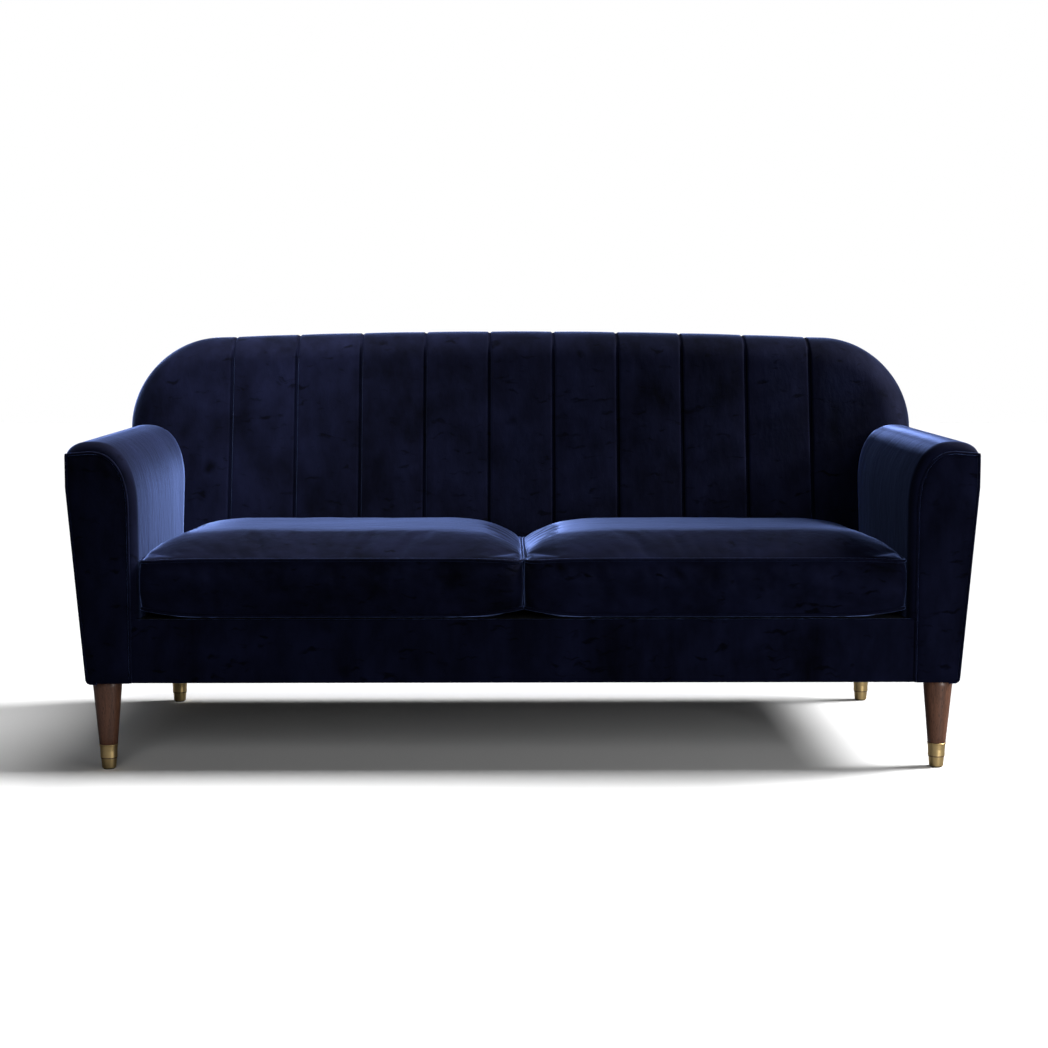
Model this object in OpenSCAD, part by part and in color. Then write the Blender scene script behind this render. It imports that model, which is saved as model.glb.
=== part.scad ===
// Two-seat-cushion sofa with a channelled back, sloping arms and turned wooden legs.
// Millimetres. +X is to the right of someone facing the sofa, +Y runs to its rear, +Z is up.
// The origin is on the floor, under the middle of the sofa's footprint.

/* [Overall] */
// Width over the arms
sofa_w = 1900; // [1500:10:2400]
// Depth from the arm facings to the rear panel
sofa_d = 860; // [800:10:1040]
// Height of the back at its middle
back_h = 945; // [880:5:1140]
// Height of the underside of the base
base_z = 189; // [150:1:228]

/* [Arms] */
// Width of an arm, from its inner face to its outer face
arm_w = 145; // [130:1:180]
// Height of an arm's outer corner at the front
arm_corner_z = 668; // [600:1:720]
// Height of the padded ridge above that corner
arm_ridge_rise = 26; // [15:1:40]
// Rise of the arm towards the rear, in degrees
arm_slope = 2.5; // [0:0.1:4]
// How much further in an arm's outer face is at its foot
arm_taper = 34; // [0:1:50]
// How far below an arm's corner the taper ends
arm_straight_h = 68; // [40:1:120]
// Width of the rounded inner top edge of an arm
arm_round_w = 95; // [80:1:110]
// Height of the rounded inner top edge of an arm
arm_round_h = 149; // [120:1:170]
// Padding on the inner face of an arm
arm_pad_t = 30; // [22:1:36]
// How far the facing board is set in from the padded edge
facing_inset = 17; // [10:1:20]
// Thickness of the padded facing board
facing_t = 13; // [10:1:18]

/* [Back] */
// Lean of the inside back, in degrees
back_lean = 12.3; // [8:0.1:15]
// Depth of the seat, from the front to the inside back above the cushions
seat_depth = 517; // [430:1:560]
// Radius of the roll along the top front edge of the back
back_roll_r = 80; // [70:1:95]
// Radius of the back's top corners
back_corner_r = 215; // [190:1:258]
// Drop of the back's top edge from its middle to its corners
back_crown = 15; // [8:1:25]
// Height of the rounded rear top edge
back_rear_rz = 90; // [80:1:110]
// Thickness of the back padding
back_pad_t = 60; // [50:1:68]
// Distance of the back's piping behind the inside back's face
back_welt_gap = 141; // [120:1:160]

/* [Seat] */
// Height of the cushions' upper piped edge
cushion_top_z = 449; // [430:1:480]
// Height of a cushion's boxing
cushion_h = 122; // [100:1:146]
// Rise of a cushion's crown above its upper edge
cushion_crown = 52; // [30:1:62]
// Plan radius of a cushion's front corners
cushion_r = 34; // [27:1:45]
// Gap between a cushion's piping and what is beside it
cushion_gap = 1.5; // [1:0.1:4]
// Number of sinuous springs under each cushion
springs_per_seat = 4; // [3:1:5]

/* [Timber] */
// Thickness of the solid rails
rail_t = 28; // [22:1:34]
// Thickness of the plywood panels and ribs
ply_t = 18; // [15:1:22]

/* [Legs] */
// Distance of a leg's centre from the front or rear plane
leg_inset = 48; // [46:1:60]
// Distance of a leg's centre from the outer face at its foot
leg_side_inset = 35; // [35:1:42]
// Radius of a leg at its top
leg_top_r = 31; // [28:0.5:34]
// Radius of a leg's ferrule at its upper edge
ferrule_top_r = 18.9; // [16:0.1:23]
// Radius of a leg's ferrule at its foot
ferrule_foot_r = 14.6; // [13:0.1:17]
// Height of a ferrule's upper edge above the floor
ferrule_top_z = 53; // [40:1:64]

/* [Trim] */
// Radius of the piping
welt_r = 3; // [2:0.1:4]

/* [Hidden] */
$fn = 64;
far = 3000;
hair = 0.1;
joint_gap = 0.3;

half_w = sofa_w / 2;
y_front = -sofa_d / 2;
y_rear = sofa_d / 2;
arm_in = half_w - arm_w;

// Steps in the rounded outlines
arm_arc_steps = 10;
back_arc_steps = 10;
crown_steps = 12;
arm_arc_power = 2.4;
welt_sides = 8;

// Seat, from the cushions down to the base
cushion_z0 = cushion_top_z - cushion_h;
deck_gap = 0.5;
deck_top = cushion_z0 - welt_r - deck_gap;
deck_t = 10;
spring_r = 2;
spring_z0 = deck_top - deck_t - 2 * spring_r;
clip_t = 2;
rail_z0 = base_z + 3;
rail_z1 = spring_z0 - clip_t;
rail_cover_recess = 5;
rail_cover_t = 10;
front_rail_y = y_front + rail_cover_recess + rail_cover_t;

// Arms
arm_ridge_z = arm_corner_z + arm_ridge_rise;
taper_top_z = arm_corner_z - arm_straight_h;
skin_t = 3;
facing_y = y_front + facing_t;
facing_crest = 4;
arm_panel_inset = arm_pad_t - facing_inset + 2;
arm_rail_drop = 40;
arm_rail_h = 22;
arm_lower_rail_h = 60;
arm_lower_rail_lift = 12;
arm_frame_x = arm_in + arm_pad_t + 3;

// Back
back_ref_z = cushion_top_z + 15;
back_z0 = deck_top + 8;
webbing_t = 2;
webbing_w = 50;
frame_inset = (back_pad_t + webbing_t + joint_gap) / cos(back_lean);
side_pad_t = 40;
rear_cover_t = 8;
roll_z = back_h - back_roll_r * (1 - sin(back_lean));
ridge_y = back_y(roll_z) + back_roll_r * cos(back_lean);
crown_x = half_w - back_corner_r;
corner_z = back_h - back_crown - back_corner_r;
crown_r = (pow(crown_x, 2) + pow(back_crown, 2)) / (2 * back_crown);
rib_top_z = corner_z + 30;
top_rail_h = 55;
arch_rear_y = y_rear - rear_cover_t - 2;
rib_rear_y = arch_rear_y - ply_t;
rear_arch_inset = back_rear_rz;
front_arch_inset = back_pad_t + 2;
rear_arch_h = 60;

// Legs
leg_x = half_w - arm_taper - leg_side_inset;
leg_y = [y_front + leg_inset, y_rear - leg_inset];
glide_t = 2;
glide_r = ferrule_foot_r - 2.6;
glide_pin_r = 2.5;
glide_pin_len = 12;
ferrule_t = 1.2;
plate_w = 54;
plate_t = 2.5;
plate_z = rail_z0 - plate_t;
block_w = 58;
block_h = rail_z1 - rail_z0;
block_x = leg_x - block_w / 2;
bolt_r = 4;
bolt_in_leg = 45;
bolt_in_block = 30;
screw_pitch = 38;
screw_r = 2;
screw_head_r = 3.6;
screw_head_t = 1.2;
screw_len = 24;
dust_cover_t = 1;

// Springs
spring_rail_y = back_y(deck_top - deck_t) + frame_inset - 3;
spring_pitch = (arm_in - cushion_gap) / springs_per_seat;
spring_amp = 27;
spring_row = 27;
spring_y0 = front_rail_y + rail_t / 2;
spring_y1 = spring_rail_y + rail_t / 3;
clip_w = 16;
clip_l = 12;
tie_wire_r = 1.3;
centre_rail_h = 58;

// Cushions
cushion_x0 = cushion_gap + welt_r;
cushion_x1 = arm_in - cushion_gap - welt_r;
cushion_y0 = y_front + welt_r;
cushion_back_gap = 2;
cover_inset = welt_r + hair;
cover_t = 2;
wrap_t = 14;
crown_run = 0.42;
crown_rear_run = 40;
zip_len = 640;
zip_margin = (cushion_x1 - cushion_x0 - zip_len) / 2;
zip_slot_h = 12;
zip_tape_t = 0.9;
zip_split = 1.4;
zip_coil = 1.8;
slider_len = 16;
slider_h = 9;
slider_plate_t = 1.3;
slider_play = 0.3;
slider_post = 0.8;

// ---- Shapes that several pieces share ----

// Y of the inside back's face at height z
function back_y(z) = y_front + seat_depth + (z - back_ref_z) * tan(back_lean);

// Quarter of a rounded curve, as unit [across, up] pairs; a power of 2 is a circle
function quarter(steps, power) =
    [for (i = [0:steps]) let (a = 90 * i / steps) [pow(cos(a), 2 / power), pow(sin(a), 2 / power)]];

function unit(v) = v / norm(v);

// Mitred sideways direction at point i of a path that lies in a plane square to up
function mitre(path, up, i, closed) =
    let (n = len(path),
         a = closed ? path[(i + n - 1) % n] : path[max(i - 1, 0)],
         b = closed ? path[(i + 1) % n] : path[min(i + 1, n - 1)],
         t_in = unit(i == 0 && !closed ? b - path[i] : path[i] - a),
         t_out = unit(i == n - 1 && !closed ? t_in : b - path[i]),
         t = unit(t_in + t_out))
    cross(up, t) / (t * t_in);

// Round tube along a flat path
module tube(path, up, r, closed = false) {
    n = len(path);
    s = welt_sides;
    rings = closed ? n : n - 1;
    points = [for (i = [0:n - 1], k = [0:s - 1])
        let (a = 360 * (k + 0.5) / s) path[i] + r * (cos(a) * mitre(path, up, i, closed) + sin(a) * up)];
    walls = [for (i = [0:rings - 1], k = [0:s - 1])
        let (j = (i + 1) % n, m = (k + 1) % s) [i * s + k, j * s + k, j * s + m, i * s + m]];
    ends = closed ? [] : [[for (k = [0:s - 1]) k], [for (k = [s - 1:-1:0]) (n - 1) * s + k]];
    polyhedron(points, concat(walls, ends));
}

// Extrudes a drawing in X and Z along Y
module along_y(y0, y1) {
    translate([0, y1, 0]) rotate([90, 0, 0]) linear_extrude(y1 - y0) children();
}

// Extrudes a drawing in Y and Z along X
module along_x(x0, x1) {
    translate([x0, 0, 0]) rotate([90, 0, 90]) linear_extrude(x1 - x0) children();
}

// Box given by its two corners
module block(a, b) {
    translate(a) cube(b - a);
}

module left_hand() {
    mirror([1, 0, 0]) children();
}

module both_sides() {
    children();
    left_hand() children();
}

// Places a piece at each of the four legs
module at_legs() {
    for (x = [-leg_x, leg_x], y = leg_y) translate([x, y, 0]) children();
}

// Places a piece at each screw of a mounting plate
module at_plate_screws() {
    for (x = [-1, 1], y = [-1, 1]) translate([x * screw_pitch / 2, y * screw_pitch / 2, 0]) children();
}

// Everything behind a plane parallel to the inside back, gap behind its face
module behind_back(gap) {
    along_x(-far, far) polygon([[back_y(-far) + gap, -far], [back_y(far) + gap, far], [far, far],
        [far, -far]]);
}

// Tilts a piece so that it rises to the rear with the arm
module arm_tilt() {
    translate([0, y_front, arm_corner_z]) rotate([arm_slope, 0, 0])
        translate([0, -y_front, -arm_corner_z]) children();
}

// ---- Base ----

module front_rail() {
    color("burlywood") block([-block_x, front_rail_y, rail_z0], [block_x, front_rail_y + rail_t, rail_z1]);
}

module rear_rail() {
    color("burlywood") block([-block_x, arch_rear_y - rail_t, rail_z0], [block_x, arch_rear_y, rail_z1]);
}

// Carries the rear ends of the seat springs
module spring_rail() {
    color("burlywood") block([-block_x, spring_rail_y, rail_z0], [block_x, spring_rail_y + rail_t, rail_z1]);
}

module centre_rails() {
    z1 = rail_z0 + centre_rail_h;
    color("burlywood") {
        block([-rail_t / 2, front_rail_y + rail_t, rail_z0], [rail_t / 2, spring_rail_y, z1]);
        block([-rail_t / 2, spring_rail_y + rail_t, rail_z0], [rail_t / 2, arch_rear_y - rail_t, z1]);
    }
}

module side_rail() {
    color("burlywood") block([block_x, leg_y[0] + block_w / 2, rail_z0],
        [block_x + rail_t, leg_y[1] - block_w / 2, rail_z1]);
}

module leg_blocks() {
    color("tan") at_legs() difference() {
        block([-block_w / 2, -block_w / 2, rail_z0], [block_w / 2, block_w / 2, rail_z0 + block_h]);
        translate([0, 0, rail_z0 - 1]) cylinder(h = bolt_in_block + 2, r = bolt_r + hair);
        at_plate_screws() translate([0, 0, rail_z0 - 1]) cylinder(h = screw_len + 1, r = screw_r + hair);
    }
}

module front_rail_cover() {
    x = arm_in + facing_inset - welt_r - 1;
    color("midnightblue") block([-x, front_rail_y - rail_cover_t, base_z], [x, front_rail_y, deck_top]);
}

// Zigzag wire from the front rail to the spring rail, as a flat path of rows and bends
function spring_path() =
    let (rows = round((spring_y1 - spring_y0) / spring_row), step = (spring_y1 - spring_y0) / rows,
         c = step / 3)
    [for (i = [0:rows], k = [0:(i < rows ? 3 : 1)])
        let (s = i % 2 == 0 ? 1 : -1)
        [s * [c - spring_amp, spring_amp - c, spring_amp, spring_amp][k],
         spring_y0 + i * step + [0, 0, c, step - c][k], 0]];

function spring_x(i) = cushion_gap + (i + 0.5) * spring_pitch;

module spring_outline() {
    path = spring_path();
    up = [0, 0, 1];
    n = len(path);
    sides = [for (d = [1, -1]) [for (i = [0:n - 1]) path[i] + d * spring_r * mitre(path, up, i, false)]];
    polygon(concat([for (p = sides[0]) [p[0], p[1]]],
        [for (i = [n - 1:-1:0]) [sides[1][i][0], sides[1][i][1]]]));
}

module seat_springs() {
    color("dimgray") both_sides() for (i = [0:springs_per_seat - 1])
        translate([spring_x(i), 0, spring_z0]) linear_extrude(2 * spring_r) spring_outline();
}

// Folded clip under the end row of a spring, with its hook towards the rail's far edge
module spring_clip() {
    block([-clip_w / 2, -clip_l / 2, 0], [clip_w / 2, clip_l / 2, clip_t]);
    block([-clip_w / 2, spring_r + joint_gap, clip_t], [clip_w / 2, clip_l / 2, clip_t + 2 * spring_r]);
}

module spring_clips() {
    color("silver") both_sides() for (i = [0:springs_per_seat - 1]) {
        translate([spring_x(i), spring_y1, rail_z1]) spring_clip();
        translate([spring_x(i), spring_y0, rail_z1]) rotate([0, 0, 180]) spring_clip();
    }
}

module spring_tie_wires() {
    x = spring_x(springs_per_seat - 1) + spring_amp;
    color("gray") for (t = [1 / 3, 2 / 3])
        translate([-x, spring_y0 + t * (spring_y1 - spring_y0), spring_z0 - tie_wire_r - hair])
            rotate([0, 90, 0]) cylinder(h = 2 * x, r = tie_wire_r);
}

module seat_deck() {
    x = arm_in + arm_pad_t - 1;
    color("black") block([-x, front_rail_y, deck_top - deck_t], [x, spring_rail_y, deck_top]);
}

module dust_cover() {
    x = leg_x + block_w / 2;
    color("black") difference() {
        block([-x, front_rail_y, rail_z0 - dust_cover_t], [x, arch_rear_y, rail_z0]);
        at_legs() translate([-plate_w / 2 - 1, -plate_w / 2 - 1, 0])
            cube([plate_w + 2, plate_w + 2, rail_z0 + 1]);
    }
}

// ---- Arms, drawn for the right-hand side ----

// Outline of an arm, set in by different amounts at its inner face, top and outer face
module arm_outline(inner, top, outer) {
    crest_x = arm_in + arm_round_w;
    crest_z = arm_ridge_z - top;
    rx_in = arm_round_w - inner;
    rz_in = arm_round_h - top;
    rx_out = arm_w - arm_round_w - outer;
    inner_arc = [for (p = quarter(arm_arc_steps, arm_arc_power))
        [crest_x - rx_in * p[0], crest_z - rz_in + rz_in * p[1]]];
    outer_arc = [for (p = quarter(arm_arc_steps, 2))
        [crest_x + rx_out * p[1], crest_z - arm_ridge_rise * (1 - p[0])]];
    polygon(concat([[arm_in + inner, 0]], inner_arc, [for (i = [1:arm_arc_steps]) outer_arc[i]],
        [[half_w - outer, 0]]));
}

// Edge of the facing board, from its inner foot over the top to its outer foot
function facing_path(inset, foot_z) =
    let (crest_x = arm_in + arm_round_w,
         crest_z = arm_corner_z + facing_crest - inset,
         rx = arm_round_w - facing_inset - inset,
         rz = arm_round_h - arm_ridge_rise + facing_crest - inset,
         outer_x = half_w - welt_r - inset,
         taper = arm_taper * (taper_top_z - foot_z) / (taper_top_z - base_z))
    concat([[crest_x - rx, foot_z]],
        [for (p = quarter(arm_arc_steps, arm_arc_power)) [crest_x - rx * p[0], crest_z - rz + rz * p[1]]],
        [[outer_x, arm_corner_z - inset], [outer_x, taper_top_z], [outer_x - taper, foot_z]]);

// Everything outwards of a line set in from the tapered outside face, up to the arm's top edge
module outside_panel_shape(x_inset) {
    x = half_w - x_inset;
    difference() {
        along_y(-far, far) polygon([[x - arm_taper, base_z], [x, taper_top_z], [x, far], [far, far],
            [far, base_z - 1], [x - arm_taper, base_z - 1]]);
        arm_tilt() block([0, -far, arm_corner_z], [far, far, far]);
    }
}

module arm_pad() {
    color("midnightblue") difference() {
        arm_tilt() along_y(y_front - 60, y_rear + 60) arm_outline(0, 0, skin_t);
        arm_tilt() along_y(y_front - 80, y_rear + 80) arm_outline(arm_pad_t, arm_pad_t + 6, -arm_w);
        block([arm_in - 60, y_front - 80, -60], [half_w + 60, far, deck_top]);
        block([arm_in - 60, y_front - 80, 0], [half_w + 60, y_front + 2, far]);
        along_y(y_front - 5, facing_y + 1) polygon(facing_path(-welt_r - 1, 0));
        behind_back(-joint_gap);
    }
}

module arm_outside_panel() {
    color("midnightblue") intersection() {
        outside_panel_shape(skin_t);
        block([0, facing_y + 1, base_z], [half_w, y_rear, far]);
        along_y(-far, far) polygon([[0, base_z], [half_w - arm_taper, base_z], [half_w, taper_top_z],
            [half_w, far], [0, far]]);
    }
}

module arm_facing() {
    color("midnightblue") along_y(y_front + 1, facing_y) polygon(facing_path(welt_r + hair, base_z));
}

module arm_welt() {
    path = [for (p = facing_path(0, base_z + welt_r)) [p[0], y_front + welt_r, p[1]]];
    color("navy") tube(path, [0, 1, 0], welt_r);
}

// Plywood panel behind the facing, standing on the front leg's block
module arm_front_panel() {
    color("burlywood") along_y(facing_y, facing_y + ply_t)
        polygon(facing_path(arm_panel_inset, rail_z0 + block_h));
}

module arm_top_rail() {
    y0 = facing_y + ply_t;
    z1 = arm_corner_z - arm_rail_drop;
    color("burlywood") difference() {
        arm_tilt() block([arm_frame_x + 17, y0 - 60, z1 - arm_rail_h], [half_w - skin_t - 14, y_rear, z1]);
        block([0, y_front - 90, 0], [far, y0, far]);
        behind_back(frame_inset);
    }
}

module arm_lower_rail() {
    z0 = deck_top + arm_lower_rail_lift;
    color("burlywood") difference() {
        block([arm_frame_x, facing_y + ply_t, z0], [arm_frame_x + arm_rail_h, y_rear, z0 + arm_lower_rail_h]);
        behind_back(frame_inset);
    }
}

// ---- Back ----

// Outline of the back seen from the front, set in all round, from height z0 up
module back_outline(inset, z0) {
    r = back_corner_r - inset;
    corner = [for (p = quarter(back_arc_steps, 2)) [crown_x + r * p[0], corner_z + r * p[1]]];
    crown = [for (i = [1:crown_steps - 1])
        let (x = crown_x * (1 - 2 * i / crown_steps))
        [x, back_h - inset - crown_r + sqrt(pow(crown_r, 2) - pow(x, 2))]];
    other = [for (i = [back_arc_steps:-1:0]) [-corner[i][0], corner[i][1]]];
    polygon(concat([[half_w - inset, z0]], corner, crown, other, [[inset - half_w, z0]]));
}

// Side view of the back, set in all round, from height z0 up
module back_profile(inset, z0) {
    r = back_roll_r - inset;
    roll = [for (i = [0:back_arc_steps])
        let (a = 180 - back_lean - (90 - back_lean) * i / back_arc_steps)
        [ridge_y + r * cos(a), back_h - back_roll_r + r * sin(a)]];
    rear = [for (p = quarter(back_arc_steps, 2))
        [ridge_y + (y_rear - ridge_y - inset) * p[1], back_h - back_rear_rz + (back_rear_rz - inset) * p[0]]];
    polygon(concat([[back_y(z0) + inset / cos(back_lean), z0]], roll,
        [for (i = [1:back_arc_steps]) rear[i]], [[y_rear - inset, z0]]));
}

// Height of the back's top surface at y, behind its ridge
function back_top_z(y) =
    back_h - back_rear_rz + back_rear_rz * sqrt(1 - pow((y - ridge_y) / (y_rear - ridge_y), 2));

module back_body(inset, side_inset, z0) {
    intersection() {
        along_x(-half_w, half_w) back_profile(inset, z0);
        along_y(y_front, y_rear + 1) back_outline(side_inset, z0);
    }
}

// Space beside the back padding that the arm frames use
module arm_frame_space() {
    difference() {
        block([arm_frame_x - 1, -far, 0], [far, far, far]);
        arm_tilt() block([0, -far, arm_corner_z + joint_gap], [far, far, far]);
    }
}

module back_pad() {
    color("midnightblue") difference() {
        back_body(0, 0, back_z0);
        back_body(back_pad_t, side_pad_t, back_z0 - 50);
        behind_back(back_welt_gap - welt_r - 0.5);
        both_sides() arm_frame_space();
    }
}

module back_rear_cover() {
    color("midnightblue") difference() {
        back_body(0, 0, base_z);
        back_body(rear_cover_t, rear_cover_t, base_z - 50);
        difference() {
            block([-far, -far, -far], [far, far, far]);
            behind_back(back_welt_gap + welt_r + 0.5);
        }
        both_sides() outside_panel_shape(skin_t + joint_gap);
        both_sides() difference() {
            block([arm_in, -far, 0], [far, y_rear - rear_cover_t, far]);
            arm_tilt() block([0, -far, arm_corner_z + joint_gap], [far, far, far]);
        }
    }
}

// Piping along the seam between the inside back and the rear cover
module back_welt() {
    r = back_corner_r - welt_r;
    foot_z = arm_corner_z + 35;
    corner = [for (p = quarter(back_arc_steps, 2)) [crown_x + r * p[0], corner_z + r * p[1]]];
    crown = [for (i = [1:crown_steps - 1])
        let (x = crown_x * (1 - 2 * i / crown_steps))
        [x, back_h - welt_r - crown_r + sqrt(pow(crown_r, 2) - pow(x, 2))]];
    other = [for (i = [back_arc_steps:-1:0]) [-corner[i][0], corner[i][1]]];
    edge = concat([[half_w - welt_r, foot_z]], corner, crown, other, [[welt_r - half_w, foot_z]]);
    path = [for (p = edge)
        let (z = min(p[1], back_top_z(back_y(p[1]) + back_welt_gap) - welt_r))
        [p[0], back_y(z) + back_welt_gap, z]];
    color("navy") tube(path, [0, cos(back_lean), -sin(back_lean)], welt_r);
}

module back_rib(x) {
    color("burlywood") along_x(x - ply_t / 2, x + ply_t / 2) polygon([
        [back_y(rail_z1) + frame_inset, rail_z1], [back_y(rib_top_z) + frame_inset, rib_top_z],
        [rib_rear_y, rib_top_z], [rib_rear_y, rail_z1]]);
}

module back_ribs() {
    both_sides() {
        back_rib(block_x + rail_t - ply_t / 2);
        for (i = [1, springs_per_seat - 1]) back_rib(cushion_gap + i * spring_pitch);
    }
}

module back_top_rail() {
    x = block_x + rail_t;
    y1 = ridge_y + ply_t;
    color("burlywood") block([-x, y1 - rail_t, rib_top_z], [x, y1, rib_top_z + top_rail_h]);
}

module back_front_arch() {
    color("burlywood") along_y(ridge_y, ridge_y + ply_t) intersection() {
        back_outline(front_arch_inset, 0);
        translate([-far, rib_top_z + top_rail_h]) square(2 * far);
    }
}

module back_rear_arch() {
    color("burlywood") along_y(rib_rear_y, arch_rear_y) intersection() {
        back_outline(rear_arch_inset, 0);
        translate([-far, rib_top_z - rear_arch_h]) square(2 * far);
    }
}

module back_webbing() {
    x = block_x + rail_t;
    bands = concat([for (i = [0:2]) deck_top + 116 + 80 * i], [rib_top_z - 55]);
    color("gray") for (z = bands)
        translate([0, back_y(z) + frame_inset, z]) rotate([-back_lean, 0, 0])
            block([-x, -webbing_t - hair, -webbing_w / 2], [x, -hair, webbing_w / 2]);
}

// ---- Legs ----

module leg() {
    foot_z = glide_t + ferrule_t + hair;
    lap = ferrule_t + hair;
    color("saddlebrown") difference() {
        rotate_extrude() polygon([[0, foot_z], [ferrule_foot_r - lap, foot_z],
            [ferrule_top_r - lap, ferrule_top_z], [ferrule_top_r, ferrule_top_z], [leg_top_r, plate_z],
            [0, plate_z]]);
        translate([0, 0, plate_z - bolt_in_leg]) cylinder(h = bolt_in_leg + 1, r = bolt_r + hair);
        cylinder(h = glide_t + glide_pin_len + 1, r = glide_pin_r + hair);
    }
}

module ferrule() {
    color("goldenrod") difference() {
        rotate_extrude() polygon([[0, glide_t], [ferrule_foot_r, glide_t], [ferrule_top_r, ferrule_top_z],
            [ferrule_top_r - ferrule_t, ferrule_top_z], [ferrule_foot_r - ferrule_t, glide_t + ferrule_t],
            [0, glide_t + ferrule_t]]);
        cylinder(h = glide_t + ferrule_t + 1, r = glide_pin_r + hair);
    }
}

module leg_glides() {
    color("black") at_legs() {
        cylinder(h = glide_t, r = glide_r);
        cylinder(h = glide_t + glide_pin_len, r = glide_pin_r);
    }
}

module leg_bolts() {
    color("silver") at_legs() translate([0, 0, plate_z - bolt_in_leg])
        cylinder(h = bolt_in_leg + plate_t + bolt_in_block, r = bolt_r);
}

module leg_plates() {
    color("silver") at_legs() difference() {
        block([-plate_w / 2, -plate_w / 2, plate_z], [plate_w / 2, plate_w / 2, rail_z0]);
        translate([0, 0, plate_z - 1]) cylinder(h = plate_t + 2, r = bolt_r + hair);
        at_plate_screws() {
            translate([0, 0, plate_z - 1]) cylinder(h = plate_t + 2, r = screw_r + hair);
            translate([0, 0, plate_z - 1]) cylinder(h = screw_head_t + 1 + hair, r = screw_head_r + hair);
        }
    }
}

module leg_plate_screws() {
    color("gray") at_legs() at_plate_screws() {
        translate([0, 0, plate_z]) cylinder(h = screw_head_t, r = screw_head_r);
        translate([0, 0, plate_z]) cylinder(h = screw_len, r = screw_r);
    }
}

// ---- Cushions, drawn for the right-hand side ----

// Y of a cushion's rear face at height z
function cushion_rear(z) = back_y(z) - (cushion_back_gap + welt_r) / cos(back_lean);

// Closed crowned form of a cushion, set in all round
module cushion_form(inset) {
    x0 = cushion_x0 + inset;
    x1 = cushion_x1 - inset;
    y0 = cushion_y0 + inset;
    z0 = deck_top + deck_gap + inset - welt_r;
    z1 = cushion_top_z - inset + welt_r;
    y1 = cushion_rear(z1) - inset;
    crown = cushion_crown - welt_r;
    run_x = crown_run * (x1 - x0) / 2;
    run_y = crown_run * (y1 - y0);
    r = cushion_r - inset;
    arc = quarter(arm_arc_steps, 2);
    n = arm_arc_steps;
    intersection() {
        linear_extrude(far) polygon(concat(
            [for (p = arc) [x0 + r - r * p[0], y0 + r - r * p[1]]],
            [for (i = [n:-1:0]) [x1 - r + r * arc[i][0], y0 + r - r * arc[i][1]]], [[x1, far], [x0, far]]));
        along_y(y_front - 50, y_rear) polygon(concat(
            [[x0, z0]], [for (p = arc) [x0 + run_x * (1 - p[0]), z1 + crown * p[1]]],
            [for (i = [n:-1:0]) [x1 - run_x * (1 - arc[i][0]), z1 + crown * arc[i][1]]], [[x1, z0]]));
        along_x(0, half_w) polygon(concat(
            [[y0, z0]], [for (p = arc) [y0 + run_y * (1 - p[0]), z1 + crown * p[1]]],
            [for (i = [n:-1:0]) [y1 - crown_rear_run * (1 - arc[i][0]), z1 + crown * arc[i][1]]],
            [[cushion_rear(z0) - inset, z0]]));
    }
}

// Puts a piece on the middle of a cushion's rear face: X along it, Y out of it, Z up it
module on_rear_boxing() {
    z = cushion_z0 + cushion_h / 2;
    translate([cushion_x0 + zip_margin, cushion_rear(z) - cover_inset, z])
        rotate([-back_lean, 0, 0]) children();
}

module zip_slot(depth) {
    on_rear_boxing() block([-slider_len, -depth, -zip_slot_h / 2], [zip_len + slider_len, 6, zip_slot_h / 2]);
}

module cushion_cover() {
    color("midnightblue") difference() {
        cushion_form(cover_inset);
        cushion_form(cover_inset + cover_t);
        zip_slot(cover_t + 3);
    }
}

module cushion_wrap() {
    skin = cover_inset + cover_t + joint_gap;
    color("white") difference() {
        cushion_form(skin);
        cushion_form(skin + wrap_t);
        zip_slot(cover_t + 3);
    }
}

module cushion_foam() {
    color("khaki") cushion_form(cover_inset + cover_t + wrap_t + 2 * joint_gap);
}

module cushion_welt(z) {
    r = cushion_r;
    x0 = cushion_x0;
    x1 = cushion_x1;
    y0 = cushion_y0;
    y1 = cushion_rear(z);
    n = arm_arc_steps;
    arc = quarter(n, 2);
    path = concat([for (p = arc) [x0 + r - r * p[0], y0 + r - r * p[1], z]],
        [for (i = [n:-1:0]) [x1 - r + r * arc[i][0], y0 + r - r * arc[i][1], z]],
        [[x1, y1, z], [x0, y1, z]]);
    tube(path, [0, 0, 1], welt_r, closed = true);
}

module cushion_welts() {
    color("navy") {
        cushion_welt(cushion_z0);
        cushion_welt(cushion_top_z);
    }
}

// Two tapes with a row of coil along their facing edges
module cushion_zip() {
    y = -cover_t / 2;
    color("black") on_rear_boxing() for (flip = [0, 1]) mirror([0, 0, flip]) {
        block([-slider_len, y - zip_tape_t / 2, zip_split / 2 + zip_coil],
              [zip_len + slider_len, y + zip_tape_t / 2, zip_slot_h / 2]);
        block([-slider_len, y - zip_coil / 2, zip_split / 2],
              [zip_len + slider_len, y + zip_coil / 2, zip_split / 2 + zip_coil]);
    }
}

module zip_slider() {
    y = -cover_t / 2;
    near = zip_coil / 2 + slider_play;
    color("silver") on_rear_boxing() {
        block([0, y + near, -slider_h / 2], [slider_len, y + near + slider_plate_t, slider_h / 2]);
        block([0, y - near - slider_plate_t, -slider_h / 2], [slider_len, y - near, slider_h / 2]);
        block([0, y - near, -slider_post / 2], [slider_len, y + near, slider_post / 2]);
    }
}

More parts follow.
